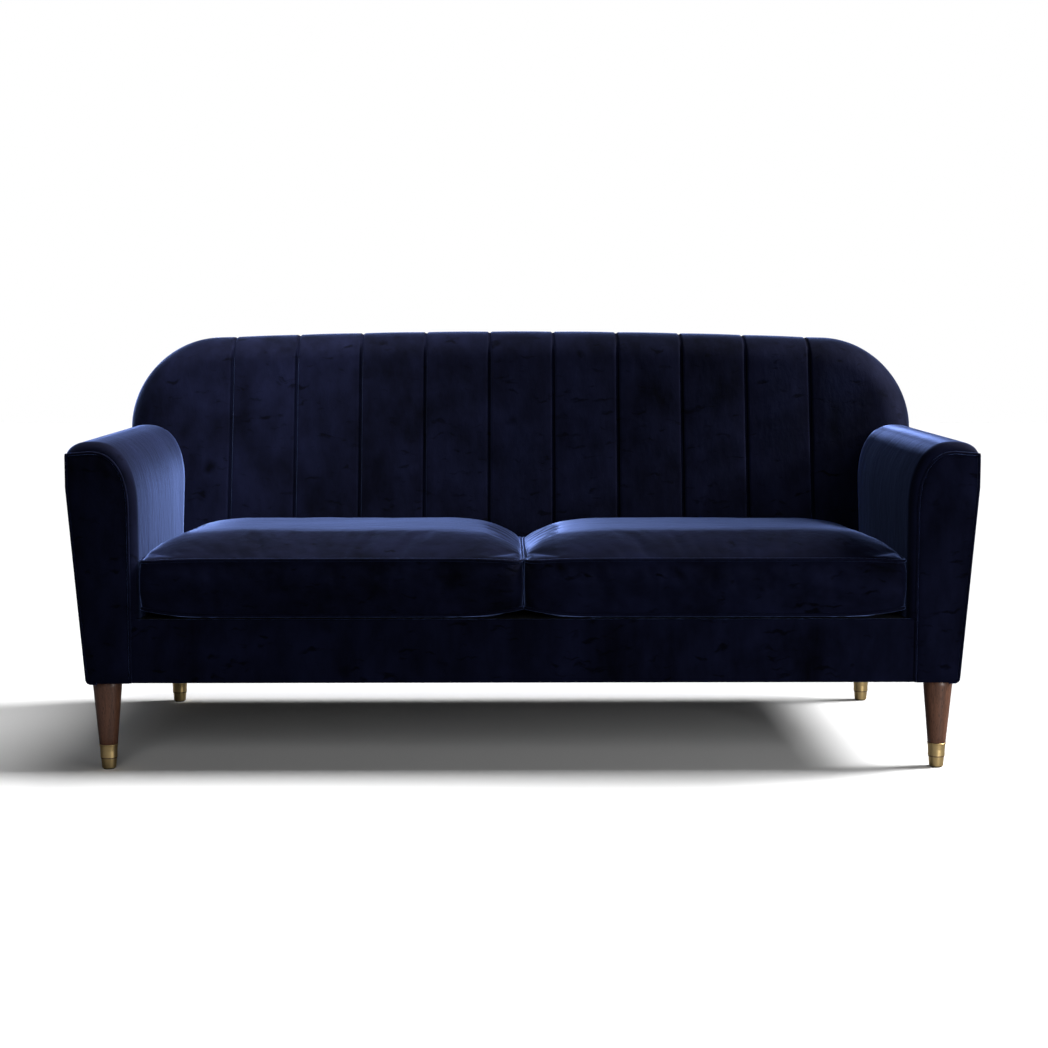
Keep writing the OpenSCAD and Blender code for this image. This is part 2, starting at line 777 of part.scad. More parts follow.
front_rail();
rear_rail();
spring_rail();
centre_rails();
left_hand() side_rail();  // side_rail_left
side_rail();  // side_rail_right
leg_blocks();
front_rail_cover();
seat_springs();
spring_clips();
spring_tie_wires();
seat_deck();
dust_cover();
left_hand() arm_front_panel();  // arm_left_front_panel
left_hand() arm_top_rail();  // arm_left_top_rail
left_hand() arm_lower_rail();  // arm_left_lower_rail
left_hand() arm_pad();  // arm_left_pad
left_hand() arm_outside_panel();  // arm_left_outside_panel
left_hand() arm_facing();  // arm_left_facing
left_hand() arm_welt();  // arm_left_welt
arm_front_panel();  // arm_right_front_panel
arm_top_rail();  // arm_right_top_rail
arm_lower_rail();  // arm_right_lower_rail
arm_pad();  // arm_right_pad
arm_outside_panel();  // arm_right_outside_panel
arm_facing();  // arm_right_facing
arm_welt();  // arm_right_welt
back_ribs();
back_top_rail();
back_front_arch();
back_rear_arch();
back_webbing();
back_pad();
back_rear_cover();
back_welt();
translate([-leg_x, leg_y[0], 0]) leg();  // leg_front_left
translate([leg_x, leg_y[0], 0]) leg();  // leg_front_right
translate([-leg_x, leg_y[1], 0]) leg();  // leg_rear_left
translate([leg_x, leg_y[1], 0]) leg();  // leg_rear_right
translate([-leg_x, leg_y[0], 0]) ferrule();  // ferrule_front_left
translate([leg_x, leg_y[0], 0]) ferrule();  // ferrule_front_right
translate([-leg_x, leg_y[1], 0]) ferrule();  // ferrule_rear_left
translate([leg_x, leg_y[1], 0]) ferrule();  // ferrule_rear_right
leg_glides();
leg_bolts();
leg_plates();
leg_plate_screws();
left_hand() cushion_cover();  // cushion_left_cover
left_hand() cushion_wrap();  // cushion_left_wrap
left_hand() cushion_foam();  // cushion_left_foam
left_hand() cushion_welts();  // cushion_left_welts
left_hand() cushion_zip();  // cushion_left_zip
left_hand() zip_slider();  // zip_slider_left
cushion_cover();  // cushion_right_cover
cushion_wrap();  // cushion_right_wrap
cushion_foam();  // cushion_right_foam
cushion_welts();  // cushion_right_welts
cushion_zip();  // cushion_right_zip
zip_slider();  // zip_slider_right
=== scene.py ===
import math

import bmesh
import bpy
import numpy as np
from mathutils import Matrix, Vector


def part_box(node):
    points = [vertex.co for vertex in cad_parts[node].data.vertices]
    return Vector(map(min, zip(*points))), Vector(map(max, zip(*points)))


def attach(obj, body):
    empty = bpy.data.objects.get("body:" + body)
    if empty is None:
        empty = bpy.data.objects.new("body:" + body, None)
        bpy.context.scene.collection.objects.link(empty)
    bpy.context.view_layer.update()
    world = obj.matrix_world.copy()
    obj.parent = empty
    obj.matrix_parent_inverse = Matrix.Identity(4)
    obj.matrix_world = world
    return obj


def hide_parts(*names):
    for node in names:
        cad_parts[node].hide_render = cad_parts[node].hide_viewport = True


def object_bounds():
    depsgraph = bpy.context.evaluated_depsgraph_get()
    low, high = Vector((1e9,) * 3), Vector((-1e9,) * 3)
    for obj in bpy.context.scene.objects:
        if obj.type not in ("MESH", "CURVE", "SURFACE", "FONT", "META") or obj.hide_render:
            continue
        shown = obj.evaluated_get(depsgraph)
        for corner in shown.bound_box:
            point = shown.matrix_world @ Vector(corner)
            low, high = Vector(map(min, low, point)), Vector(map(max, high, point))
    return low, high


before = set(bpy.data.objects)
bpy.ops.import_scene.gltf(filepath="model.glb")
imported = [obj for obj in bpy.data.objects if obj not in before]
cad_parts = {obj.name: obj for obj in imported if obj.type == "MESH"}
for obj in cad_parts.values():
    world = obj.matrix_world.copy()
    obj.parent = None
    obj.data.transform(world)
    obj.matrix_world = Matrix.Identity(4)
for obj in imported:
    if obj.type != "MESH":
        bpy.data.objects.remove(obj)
cadLow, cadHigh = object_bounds()
scene = bpy.context.scene
print("frame loaded:", len(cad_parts), "CAD nodes")

# Sizes in metres that several pieces share
sofa = {
    "halfWidth": cadHigh.x,
    "frontY": -0.43,
    "rearY": 0.43,
    "height": cadHigh.z,
    "baseZ": 0.189,
    "taper": 0.034,  # how much further in an arm's outer face is at its foot
    "taperTopZ": 0.6,
    "pipingRadius": 0.003,
}
arm = {
    "innerX": 0.805,
    "ridgeX": 0.9,
    "ridgeZ": 0.694,
    "cornerZ": 0.668,
    "roundZ": 0.545,  # where the inner face starts to round over
    "roundPower": 2.4,
    "slope": math.tan(math.radians(2.5)),
    "facingX": 0.822,
    "facingRidgeZ": 0.672,
    "frontRoll": 0.026,
    "padThickness": 0.012,
    "facingPuff": 0.005,
    "facingThickness": 0.009,
    "outsideThickness": 0.003,
    "riseFromZ": 0.36,  # the arm's top slopes up to the rear, its foot doesn't
    "riseOver": 0.12,
    "fullness": 0.0015,
    "cornerRun": 0.047,
}
back = {
    "faceY": 0.087,
    "faceZ": 0.464,
    "lean": math.radians(12.3),
    "bottomZ": 0.3315,
    "rollRadius": 0.08,
    "cornerRadius": 0.215,
    "crownDrop": 0.015,
    "rearRoll": 0.09,
    "pipingGap": 0.141,  # distance of the piping behind the inside back's face
    "channelPitch": 0.1554,
    "channels": 10,
    "grooveDepth": 0.013,
    "grooveWidth": 0.0042,
    "grooveReach": 1.25,  # in groove widths
    # half width around each seam that gets the painted groove shade
    "grooveShadeWidth": 0.0039,
    "ridgeCalm": 0.78,
    "puff": 0.0035,
    "thickness": 0.03,
    "sideX": 0.7,  # further out than this the sides are drawn in between the arms
    "sideBlend": 0.012,
    "sideTopZ": 0.69,
    "sideInset": 0.006,
}


def quarterTurn(steps, power=2):
    # Quarter of a rounded curve from (1, 0) to (0, 1); a power of 2 is a circle
    a = np.radians(np.linspace(0, 90, steps + 1))
    return np.cos(a) ** (2 / power), np.sin(a) ** (2 / power)


def backY(z):
    return back["faceY"] + (z - back["faceZ"]) * math.tan(back["lean"])


def taperAt(z):
    run = sofa["taperTopZ"] - sofa["baseZ"]
    return sofa["taper"] * np.clip((sofa["taperTopZ"] - z) / run, 0, 1.1)


# Mesh helpers: points are rows of x, y, z, and faces are rows of four corners

def gridQuads(index):
    return np.stack([index[:-1, :-1], index[:-1, 1:], index[1:, 1:], index[1:, :-1]], -1).reshape(-1, 4)


def tubeQuads(index):
    # Faces of a grid whose last column meets its first
    return gridQuads(np.column_stack([index, index[:, 0]]))


def gridMesh(grid):
    # The grid's numbering, its points in one list and its faces
    index = np.arange(grid.shape[0] * grid.shape[1]).reshape(grid.shape[:2])
    return index, grid.reshape(-1, 3), gridQuads(index)


def vertexNormals(points, faces):
    corners = points[faces]
    normals = np.cross(corners[:, 2] - corners[:, 0], corners[:, 3] - corners[:, 1])
    summed = np.zeros_like(points)
    for k in range(4):
        np.add.at(summed, faces[:, k], normals)
    return summed / np.maximum(np.linalg.norm(summed, axis=1, keepdims=True), 1e-12)


def turnTowards(points, faces, direction):
    if (vertexNormals(points, faces) @ np.array(direction, float)).sum() < 0:
        return faces[:, ::-1]
    return faces


def thicken(points, faces, normals, thickness, base=None):
    # Closes a sheet of faces into a shell with an inner copy and a rim
    n = len(points)
    inner = (points if base is None else base) - normals * thickness
    edges = np.concatenate([faces[:, [k, (k + 1) % 4]] for k in range(4)]).tolist()
    known = set(map(tuple, edges))
    rim = sorted(e for e in known if (e[1], e[0]) not in known)
    rimFaces = np.array([[b, a, a + n, b + n] for a, b in rim])
    return np.vstack([points, inner]), np.vstack([faces, faces[:, ::-1] + n, rimFaces])


def linked(name, data):
    made = bpy.data.objects.new(name, data)
    scene.collection.objects.link(made)
    return made


def meshFrom(name, points, faces=(), edges=()):
    mesh = bpy.data.meshes.new(name)
    mesh.from_pydata(np.asarray(points, float).tolist(), edges, [list(map(int, f)) for f in faces])
    return mesh


def evaluated(carrier):
    return carrier.evaluated_get(bpy.context.evaluated_depsgraph_get())


def newPiece(name, points, faces, finish, sharp=50, recalculate=True):
    mesh = meshFrom(name, points, faces)
    work = bmesh.new()
    work.from_mesh(mesh)
    bmesh.ops.remove_doubles(work, verts=work.verts, dist=2e-5)
    bmesh.ops.dissolve_degenerate(work, edges=work.edges, dist=1e-6)
    if recalculate:
        bmesh.ops.recalc_face_normals(work, faces=work.faces)
    for face in work.faces:
        face.smooth = True
    work.to_mesh(mesh)
    work.free()
    mesh.set_sharp_from_angle(angle=math.radians(sharp))
    mesh.materials.append(finish)
    return linked(name, mesh)


def fit(piece, body, nodes=()):
    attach(piece, body)
    if nodes:
        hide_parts(*nodes)


# Node helpers

def addNode(tree, kind, inputs=(), **settings):
    node = tree.nodes.new(kind)
    for key, value in settings.items():
        setattr(node, key, value)
    for key, value in dict(inputs).items():
        if isinstance(value, bpy.types.NodeSocket):
            tree.links.new(value, node.inputs[key])
        else:
            node.inputs[key].default_value = value
    return node


def addGroup(name, kind, inputs, outputs):
    # inputs and outputs: (name, socket kind, value or None)
    tree = bpy.data.node_groups.new(name, kind)
    for way, sockets in (("INPUT", inputs), ("OUTPUT", outputs)):
        for label, socketKind, value in sockets:
            socket = tree.interface.new_socket(label, in_out=way, socket_type=socketKind)
            if value is not None:
                socket.default_value = value
    return tree, tree.nodes.new("NodeGroupInput").outputs, tree.nodes.new("NodeGroupOutput").inputs


def math2(tree, operation, a, b=0.0, clamp=False):
    return addNode(tree, "ShaderNodeMath", {0: a, 1: b}, operation=operation, use_clamp=clamp).outputs[0]


def times(tree, a, b, clamp=False):
    return math2(tree, "MULTIPLY", a, b, clamp)


def plus(tree, a, b):
    return math2(tree, "ADD", a, b)


def remap(tree, value, low, high, toLow=0.0, toHigh=1.0):
    return addNode(tree, "ShaderNodeMapRange", {0: value, 1: low, 2: high, 3: toLow, 4: toHigh}).outputs[0]


def noise(tree, position, scale, detail=3.0, roughness=0.5, stretch=None, distortion=0.0):
    if stretch is not None:
        position = addNode(tree, "ShaderNodeMapping", {"Vector": position, "Scale": stretch}).outputs[0]
    made = addNode(tree, "ShaderNodeTexNoise", {
        "Vector": position, "Scale": scale, "Detail": detail, "Roughness": roughness,
        "Distortion": distortion})
    return made.outputs["Fac"]


def mixColours(tree, factor, a, b):
    return addNode(tree, "ShaderNodeMix", {0: factor, 6: a, 7: b}, data_type="RGBA").outputs[2]


# Crushed pile: soft clouds of lighter and darker nap, small crush marks and brush streaks
def buildPile():
    tree, given, out = addGroup("crushedPile", "ShaderNodeTree", [
        ("Position", "NodeSocketVector", None),
        ("Brushing", "NodeSocketVector", (9.0, 9.0, 2.2)),
        ("Marks", "NodeSocketFloat", 1.0),
    ], [("Shade", "NodeSocketFloat", None), ("Height", "NodeSocketFloat", None)])
    position = given["Position"]
    clouds = remap(tree, noise(tree, position, 5.5, 4.0, 0.55, distortion=0.6), 0.26, 0.72)
    streaks = remap(tree, noise(tree, position, 5.0, 5.0, 0.6, stretch=given["Brushing"]), 0.35, 0.7)
    ripple = addNode(tree, "ShaderNodeTexNoise", {"Vector": position, "Scale": 26.0, "Detail": 2.0})
    warp = addNode(tree, "ShaderNodeVectorMath", {
        0: ripple.outputs["Color"], 1: (0.035, 0.035, 0.035)}, operation="MULTIPLY").outputs[0]
    moved = addNode(tree, "ShaderNodeVectorMath", {0: position, 1: warp}, operation="ADD").outputs[0]
    cells = addNode(tree, "ShaderNodeTexVoronoi", {"Vector": moved, "Scale": 8.5, "Randomness": 1.0})
    spots = remap(tree, cells.outputs["Distance"], 0.17, 0.04)
    chosen = addNode(tree, "ShaderNodeSeparateColor", {0: cells.outputs["Color"]}).outputs[0]
    spots = times(tree, spots, remap(tree, chosen, 0.45, 0.8), clamp=True)
    creases = remap(tree, noise(tree, moved, 7.0, 2.0, 0.5, stretch=(3.0, 3.0, 11.0)), 0.62, 0.72)
    marks = math2(tree, "MAXIMUM", spots, times(tree, creases, 0.85), clamp=True)
    marks = times(tree, marks, given["Marks"], clamp=True)
    shade = plus(tree, times(tree, clouds, 0.6), times(tree, streaks, 0.4))
    shade = times(tree, shade, math2(tree, "SUBTRACT", 1.0, marks), clamp=True)
    tree.links.new(shade, out["Shade"])
    pile = noise(tree, position, 850.0, 2.0, 0.6)
    nap = noise(tree, position, 38.0, 3.0, 0.55, stretch=(1.6, 1.6, 0.8))
    height = plus(tree, times(tree, pile, 0.10), times(tree, nap, 0.55))
    height = plus(tree, height, times(tree, streaks, 0.35))
    tree.links.new(math2(tree, "SUBTRACT", height, times(tree, marks, 0.06)), out["Height"])
    return tree


# Straight wood grain along Z with pores
def buildGrain():
    tree, given, out = addGroup("woodGrain", "ShaderNodeTree", [
        ("Position", "NodeSocketVector", None),
        ("Along", "NodeSocketVector", (1.0, 1.0, 0.06)),
        ("Size", "NodeSocketFloat", 60.0),
    ], [("Shade", "NodeSocketFloat", None), ("Pores", "NodeSocketFloat", None)])
    stretched = addNode(tree, "ShaderNodeMapping", {
        "Vector": given["Position"], "Scale": given["Along"]}).outputs[0]
    wide = noise(tree, stretched, given["Size"], 5.0, 0.6, distortion=0.8)
    fine = noise(tree, stretched, times(tree, given["Size"], 9.0), 2.0)
    shade = plus(tree, times(tree, remap(tree, wide, 0.32, 0.68), 0.7),
                 times(tree, remap(tree, fine, 0.35, 0.65), 0.3))
    tree.links.new(shade, out["Shade"])
    tree.links.new(remap(tree, fine, 0.56, 0.7), out["Pores"])
    return tree


# Fine scratches and smudges on metal or plastic
def buildHandling():
    tree, given, out = addGroup("handlingMarks", "ShaderNodeTree", [
        ("Position", "NodeSocketVector", None),
        ("Along", "NodeSocketVector", (1.0, 1.0, 14.0)),
    ], [("Wear", "NodeSocketFloat", None), ("Lines", "NodeSocketFloat", None)])
    tree.links.new(remap(tree, noise(tree, given["Position"], 45.0, 4.0, 0.6), 0.35, 0.7), out["Wear"])
    tree.links.new(noise(tree, given["Position"], 130.0, 3.0, 0.6, stretch=given["Along"]), out["Lines"])
    return tree


# Plain weave from two sets of threads
def buildWeave():
    tree, given, out = addGroup("plainWeave", "ShaderNodeTree", [
        ("Position", "NodeSocketVector", None),
        ("Threads", "NodeSocketFloat", 400.0),
    ], [("Height", "NodeSocketFloat", None), ("Shade", "NodeSocketFloat", None)])
    bands = [addNode(tree, "ShaderNodeTexWave", {
        "Vector": given["Position"], "Scale": given["Threads"], "Distortion": 0.6, "Detail": 1.0},
        wave_type="BANDS", bands_direction=axis).outputs["Fac"] for axis in ("X", "Z")]
    tree.links.new(times(tree, plus(tree, bands[0], bands[1]), 0.5), out["Height"])
    tree.links.new(noise(tree, given["Position"], 30.0, 3.0, 0.6), out["Shade"])
    return tree


groups = {"pile": buildPile(), "grain": buildGrain(), "handling": buildHandling(), "weave": buildWeave()}


def newFinish(name, **shader):
    finish = bpy.data.materials.new(name)
    finish.use_nodes = True
    tree = finish.node_tree
    surface = tree.nodes["Principled BSDF"]
    for key, value in shader.items():
        label = {"sheen": "Sheen Weight", "sheenRoughness": "Sheen Roughness", "sheenTint": "Sheen Tint",
                 "specular": "Specular IOR Level", "metallic": "Metallic", "roughness": "Roughness",
                 "coat": "Coat Weight", "coatRoughness": "Coat Roughness"}[key]
        surface.inputs[label].default_value = value
    return finish, tree, surface


def effect(tree, group, **inputs):
    node = tree.nodes.new("ShaderNodeGroup")
    node.node_tree = groups[group]
    place = tree.nodes.new("ShaderNodeTexCoord").outputs["Object"]
    tree.links.new(place, node.inputs["Position"])
    for key, value in inputs.items():
        node.inputs[key].default_value = value
    return node.outputs


def addBump(tree, surface, height, distance, strength=1.0):
    made = addNode(tree, "ShaderNodeBump", {"Strength": strength, "Distance": distance, "Height": height})
    tree.links.new(made.outputs[0], surface.inputs["Normal"])


velvet = {
    "dark": (0.0001, 0.0002, 0.0016, 1),
    "light": (0.0044, 0.0058, 0.0215, 1),
    "sheen": 1.0,
    "sheenRoughness": 0.24,
    "sheenTint": (0.27, 0.40, 0.95, 1),
}


def velvetFinish(name, brushing, marks, napHeight=0.0022, sheen=1.0):
    finish, tree, surface = newFinish(
        name, sheen=velvet["sheen"] * sheen, sheenRoughness=velvet["sheenRoughness"],
        sheenTint=velvet["sheenTint"], specular=0.04, roughness=0.85)
    pile = effect(tree, "pile", Brushing=brushing, Marks=marks)
    colour = mixColours(tree, pile["Shade"], velvet["dark"], velvet["light"])
    tree.links.new(colour, surface.inputs["Base Color"])
    tree.links.new(remap(tree, pile["Shade"], 0.0, 1.0, 0.95, 0.78), surface.inputs["Roughness"])
    addBump(tree, surface, pile["Height"], napHeight)
    return finish


def woodFinish(name, dark, light, along, size, coat=0.0, roughness=(0.6, 0.45)):
    finish, tree, surface = newFinish(name, coat=coat, coatRoughness=0.25, specular=0.4)
    grain = effect(tree, "grain", Along=along, Size=size)
    colour = mixColours(tree, grain["Shade"], dark, light)
    shadow = [c * 0.45 for c in dark[:3]] + [1]
    tree.links.new(mixColours(tree, grain["Pores"], colour, shadow), surface.inputs["Base Color"])
    tree.links.new(remap(tree, grain["Shade"], 0.0, 1.0, *roughness), surface.inputs["Roughness"])
    addBump(tree, surface, grain["Shade"], 0.0003, 0.5)
    return finish


def metalFinish(name, colour, tarnish, roughness, along=(1.0, 1.0, 14.0), metallic=1.0):
    finish, tree, surface = newFinish(name, metallic=metallic)
    marks = effect(tree, "handling", Along=along)
    tree.links.new(mixColours(tree, marks["Wear"], colour, tarnish), surface.inputs["Base Color"])
    rough = remap(tree, marks["Lines"], 0.3, 0.7, roughness[0], roughness[1])
    tree.links.new(rough, surface.inputs["Roughness"])
    addBump(tree, surface, marks["Lines"], 0.00006, 0.6)
    return finish


def clothFinish(name, dark, light, threads, depth=0.0002, sheen=0.15):
    finish, tree, surface = newFinish(name, sheen=sheen, roughness=0.9, specular=0.2)
    weave = effect(tree, "weave", Threads=threads)
    colour = mixColours(tree, weave["Shade"], dark, light)
    tree.links.new(colour, surface.inputs["Base Color"])
    tree.links.new(remap(tree, weave["Height"], 0.0, 1.0, 0.95, 0.8), surface.inputs["Roughness"])
    addBump(tree, surface, weave["Height"], depth)
    return finish


def softFinish(name, dark, light, size, depth):
    # Open foam or loose fibre
    finish, tree, surface = newFinish(name, roughness=0.95, specular=0.2, sheen=0.2)
    place = tree.nodes.new("ShaderNodeTexCoord").outputs["Object"]
    cells = noise(tree, place, size, 4.0, 0.65)
    tree.links.new(mixColours(tree, remap(tree, cells, 0.35, 0.65), dark, light),
                   surface.inputs["Base Color"])
    addBump(tree, surface, cells, depth)
    return finish


finishes = {
    "velvet": velvetFinish("velvet", (4.0, 4.0, 1.6), 0.9, 0.0014),
    "velvet_seat": velvetFinish("velvet_seat", (3.0, 5.0, 4.0), 1.0, 0.0010),
    "velvet_arm": velvetFinish("velvet_arm", (2.0, 5.0, 1.2), 0.8, 0.0008),
    # velvet with almost no sheen for the back's seam grooves: painted shade that keeps them dark
    "velvet_groove_painted_shade": velvetFinish("velvet_groove_painted_shade", (8.0, 8.0, 2.0), 1.0, 0.001, sheen=0.04),
    "velvet_piping": velvetFinish("velvet_piping", (20.0, 20.0, 20.0), 0.3, 0.0006),
    "walnut": woodFinish("walnut", (0.055, 0.022, 0.012, 1), (0.19, 0.082, 0.045, 1),
                         (1.0, 1.0, 0.05), 95.0, coat=0.25, roughness=(0.5, 0.38)),
    "brass": metalFinish("brass", (0.86, 0.64, 0.30, 1), (0.78, 0.56, 0.25, 1), (0.34, 0.42)),
    "frame_timber": woodFinish("frame_timber", (0.42, 0.27, 0.14, 1), (0.62, 0.44, 0.26, 1),
                               (0.06, 1.0, 1.0), 40.0),
    "plywood": woodFinish("plywood", (0.45, 0.31, 0.17, 1), (0.66, 0.5, 0.31, 1),
                          (0.1, 0.1, 1.0), 55.0),
    "spring_steel": metalFinish("spring_steel", (0.12, 0.12, 0.13, 1), (0.07, 0.06, 0.06, 1), (0.35, 0.5)),
    "zinc_steel": metalFinish("zinc_steel", (0.55, 0.56, 0.58, 1), (0.42, 0.43, 0.45, 1), (0.3, 0.5)),
    "zip_metal": metalFinish("zip_metal", (0.5, 0.5, 0.52, 1), (0.36, 0.36, 0.38, 1), (0.2, 0.35)),
    "glide_plastic": metalFinish("glide_plastic", (0.02, 0.02, 0.02, 1), (0.035, 0.035, 0.035, 1),
                                 (0.4, 0.6), metallic=0.0),
    "black_lining": clothFinish("black_lining", (0.004, 0.004, 0.005, 1), (0.009, 0.009, 0.011, 1), 220.0,
                                sheen=0.0),
    "webbing": clothFinish("webbing", (0.22, 0.19, 0.15, 1), (0.34, 0.3, 0.24, 1), 160.0, 0.0005),
    "zip_tape": clothFinish("zip_tape", (0.004, 0.005, 0.012, 1), (0.009, 0.011, 0.024, 1), 500.0),
    "foam": softFinish("foam", (0.62, 0.55, 0.36, 1), (0.78, 0.72, 0.52, 1), 380.0, 0.0008),
    "fibre_wrap": softFinish("fibre_wrap", (0.7, 0.7, 0.7, 1), (0.88, 0.88, 0.88, 1), 90.0, 0.002),
}
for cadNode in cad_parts.values():
    given = cadNode.material_slots[0].material.name
    cadNode.material_slots[0].material = finishes[given.split(".")[0]]
print("materials:", len(finishes))


def closeTree(tree, body, given, out):
    real = addNode(tree, "GeometryNodeRealizeInstances", {0: body}).outputs[0]
    done = addNode(tree, "GeometryNodeSetMaterial", {"Geometry": real, "Material": given["Finish"]})
    tree.links.new(done.outputs[0], out[0])
    return tree


# Piping: a round cord along a line of points
def buildPipingTree():
    tree, given, out = addGroup("piping", "GeometryNodeTree", [
        ("Line", "NodeSocketGeometry", None),
        ("Radius", "NodeSocketFloat", 0.003),
        ("Sides", "NodeSocketInt", 10),
        ("Finish", "NodeSocketMaterial", None),
    ], [("Geometry", "NodeSocketGeometry", None)])
    line = addNode(tree, "GeometryNodeMeshToCurve", {"Mesh": given["Line"]}).outputs[0]
    ring = addNode(tree, "GeometryNodeCurvePrimitiveCircle", {
        "Resolution": given["Sides"], "Radius": given["Radius"]}).outputs[0]
    body = addNode(tree, "GeometryNodeCurveToMesh", {"Curve": line, "Profile Curve": ring}).outputs[0]
    tree.nodes[-1].inputs["Fill Caps"].default_value = True
    return closeTree(tree, body, given, out)


# Rows of one small shape, evenly spaced along a line of points
def buildRowTree():
    tree, given, out = addGroup("rowOfPieces", "GeometryNodeTree", [
        ("Line", "NodeSocketGeometry", None),
        ("Shape", "NodeSocketObject", None),
        ("Spacing", "NodeSocketFloat", 0.01),
        ("Finish", "NodeSocketMaterial", None),
    ], [("Geometry", "NodeSocketGeometry", None)])
    line = addNode(tree, "GeometryNodeMeshToCurve", {"Mesh": given["Line"]}).outputs[0]
    spots = addNode(tree, "GeometryNodeCurveToPoints", {
        "Curve": line, "Length": given["Spacing"]}, mode="LENGTH").outputs
    turn = addNode(tree, "FunctionNodeAlignRotationToVector", {"Vector": spots["Tangent"]}, axis="X")
    shape = addNode(tree, "GeometryNodeObjectInfo", {"Object": given["Shape"]}).outputs["Geometry"]
    row = addNode(tree, "GeometryNodeInstanceOnPoints", {
        "Points": spots["Points"], "Instance": shape, "Rotation": turn.outputs[0]}).outputs[0]
    return closeTree(tree, row, given, out)


trees = {"piping": buildPipingTree(), "row": buildRowTree()}


def runTree(name, tree, lines, finish, values):
    # lines: (points, closed) pairs; gives one plain mesh object
    points, edges = [], []
    for line, closed in lines:
        start, n = len(points), len(line)
        points += np.asarray(line, float).tolist()
        edges += [(start + i, start + (i + 1) % n) for i in range(n if closed else n - 1)]
    carrier = linked(name + "_line", meshFrom(name, points, edges=edges))
    modifier = carrier.modifiers.new("row", "NODES")
    modifier.node_group = trees[tree]
    sockets = {s.name: s.identifier for s in trees[tree].interface.items_tree if s.in_out == "INPUT"}
    for key, value in {**values, "Finish": finish}.items():
        modifier[sockets[key]] = value
    made = bpy.data.meshes.new_from_object(evaluated(carrier))
    bpy.data.objects.remove(carrier)
    made.name = name
    made.shade_smooth()
    if not made.materials:
        made.materials.append(finish)
    return linked(name, made)


def addPiping(name, lines, radius, body, node):
    piece = runTree(name, "piping", lines, finishes["velvet_piping"], {"Radius": radius, "Sides": 10})
    fit(piece, body, [node])


def smoothLine(points, rounds=2):
    # Cuts the corners of a line of points
    for _ in range(rounds):
        cut = np.stack([0.75 * points[:-1] + 0.25 * points[1:], 0.25 * points[:-1] + 0.75 * points[1:]], 1)
        points = np.vstack([points[:1], cut.reshape(-1, 3), points[-1:]])
    return points


# Inside back and rear cover, both drawn on a grid of columns that follows the rounded outline
crownX = sofa["halfWidth"] - back["cornerRadius"]
cornerZ = sofa["height"] - back["crownDrop"] - back["cornerRadius"]
crownRadius = (crownX ** 2 + back["crownDrop"] ** 2) / (2 * back["crownDrop"])
ridgeY = backY(sofa["height"] - back["rollRadius"] * (1 - math.sin(back["lean"])))
ridgeY += back["rollRadius"] * math.cos(back["lean"])
rearRun = sofa["rearY"] - ridgeY
seams = (np.arange(back["channels"]) - (back["channels"] - 1) / 2) * back["channelPitch"]


def backEdge(x):
    # Height of the back's outline at x
    beyond = np.clip(np.abs(x) - crownX, 0, back["cornerRadius"])
    crown = sofa["height"] - crownRadius + np.sqrt(crownRadius ** 2 - np.minimum(np.abs(x), crownX) ** 2)
    corner = cornerZ + np.sqrt(np.maximum(back["cornerRadius"] ** 2 - beyond ** 2, 0))
    return np.where(beyond > 0, corner, crown)


def edgeDistance(x, z):
    # Distance in from the outline, and the upward part of the way out to it
    across = np.maximum(np.abs(x) - crownX, 0)
    above = z - cornerZ
    reach = np.hypot(across, above)
    inCorner = (across > 0) & (above > 0)
    d = np.where(inCorner, back["cornerRadius"] - reach,
                 np.where(across > 0, sofa["halfWidth"] - np.abs(x), backEdge(x) - z))
    up = np.where(inCorner, above / np.maximum(reach, 1e-9), np.where(across > 0, 0.0, 1.0))
    return np.maximum(d, 0), up


def backColumns():
    # Column places, close together at each channel seam and towards the sides
    near = np.array([-9, -6.5, -5, -4, -3, -2, -0.8, 0.8, 2, 3, 4, 5, 6.5, 9]) * 0.001
    places = [seams[:, None] + near]
    for i in range(len(seams) - 1):
        places.append(np.linspace(seams[i] + 0.009, seams[i + 1] - 0.009, 12)[None, 1:-1])
    outer = np.linspace(seams[-1] + 0.009, crownX, 4)[1:]
    turn = crownX + back["cornerRadius"] * np.sin(np.radians(np.linspace(0, 90, 41)[1:]))
    side = np.concatenate([outer, turn])
    return np.unique(np.round(np.concatenate([p.ravel() for p in places] + [side, -side]), 6))


def backDepth(x, z):
    # Y of the inside back's surface, rolled over towards the outline
    d, up = edgeDistance(x, z)
    r = back["rollRadius"]
    start = r * (1 - math.sin(back["lean"]) * up)
    startY = backY(z + d * up - start * up)
    rim = startY + np.sqrt(r ** 2 - (r - start) ** 2)
    rolled = rim - np.sqrt(np.maximum(r ** 2 - (r - np.minimum(d, start)) ** 2, 0))
    return np.where(d < start, rolled, backY(z))


def narrow(points, topZ, inset):
    # Draws the sides in below the arms' top edge, where the arms stand in front
    x, z = points[:, 0], points[:, 2]
    start = back["sideX"]
    blend = np.clip((topZ - z) / back["sideBlend"], 0, 1)
    width = sofa["halfWidth"] - blend * (inset + taperAt(z))
    share = (np.maximum(np.abs(x), start) - start) / (sofa["halfWidth"] - start)
    points[:, 0] = np.where(np.abs(x) > start, np.sign(x) * (start + share * (width - start)), x)
    return points


def pipingSeat(edgeZ, up):
    # Y of the back's piping at a point of the outline, and how far it lies below that point
    z = edgeZ
    for _ in range(4):
        y = backY(z) + back["pipingGap"]
        behind = np.maximum(y - ridgeY, 0) / rearRun
        drop = back["rearRoll"] * (1 - np.sqrt(np.maximum(1 - behind ** 2, 0)))
        z = edgeZ - drop * up
    return y, drop * up


def boundaryLoop(index):
    return np.concatenate([index[:, 0], index[-1, 1:], index[-2::-1, -1]])


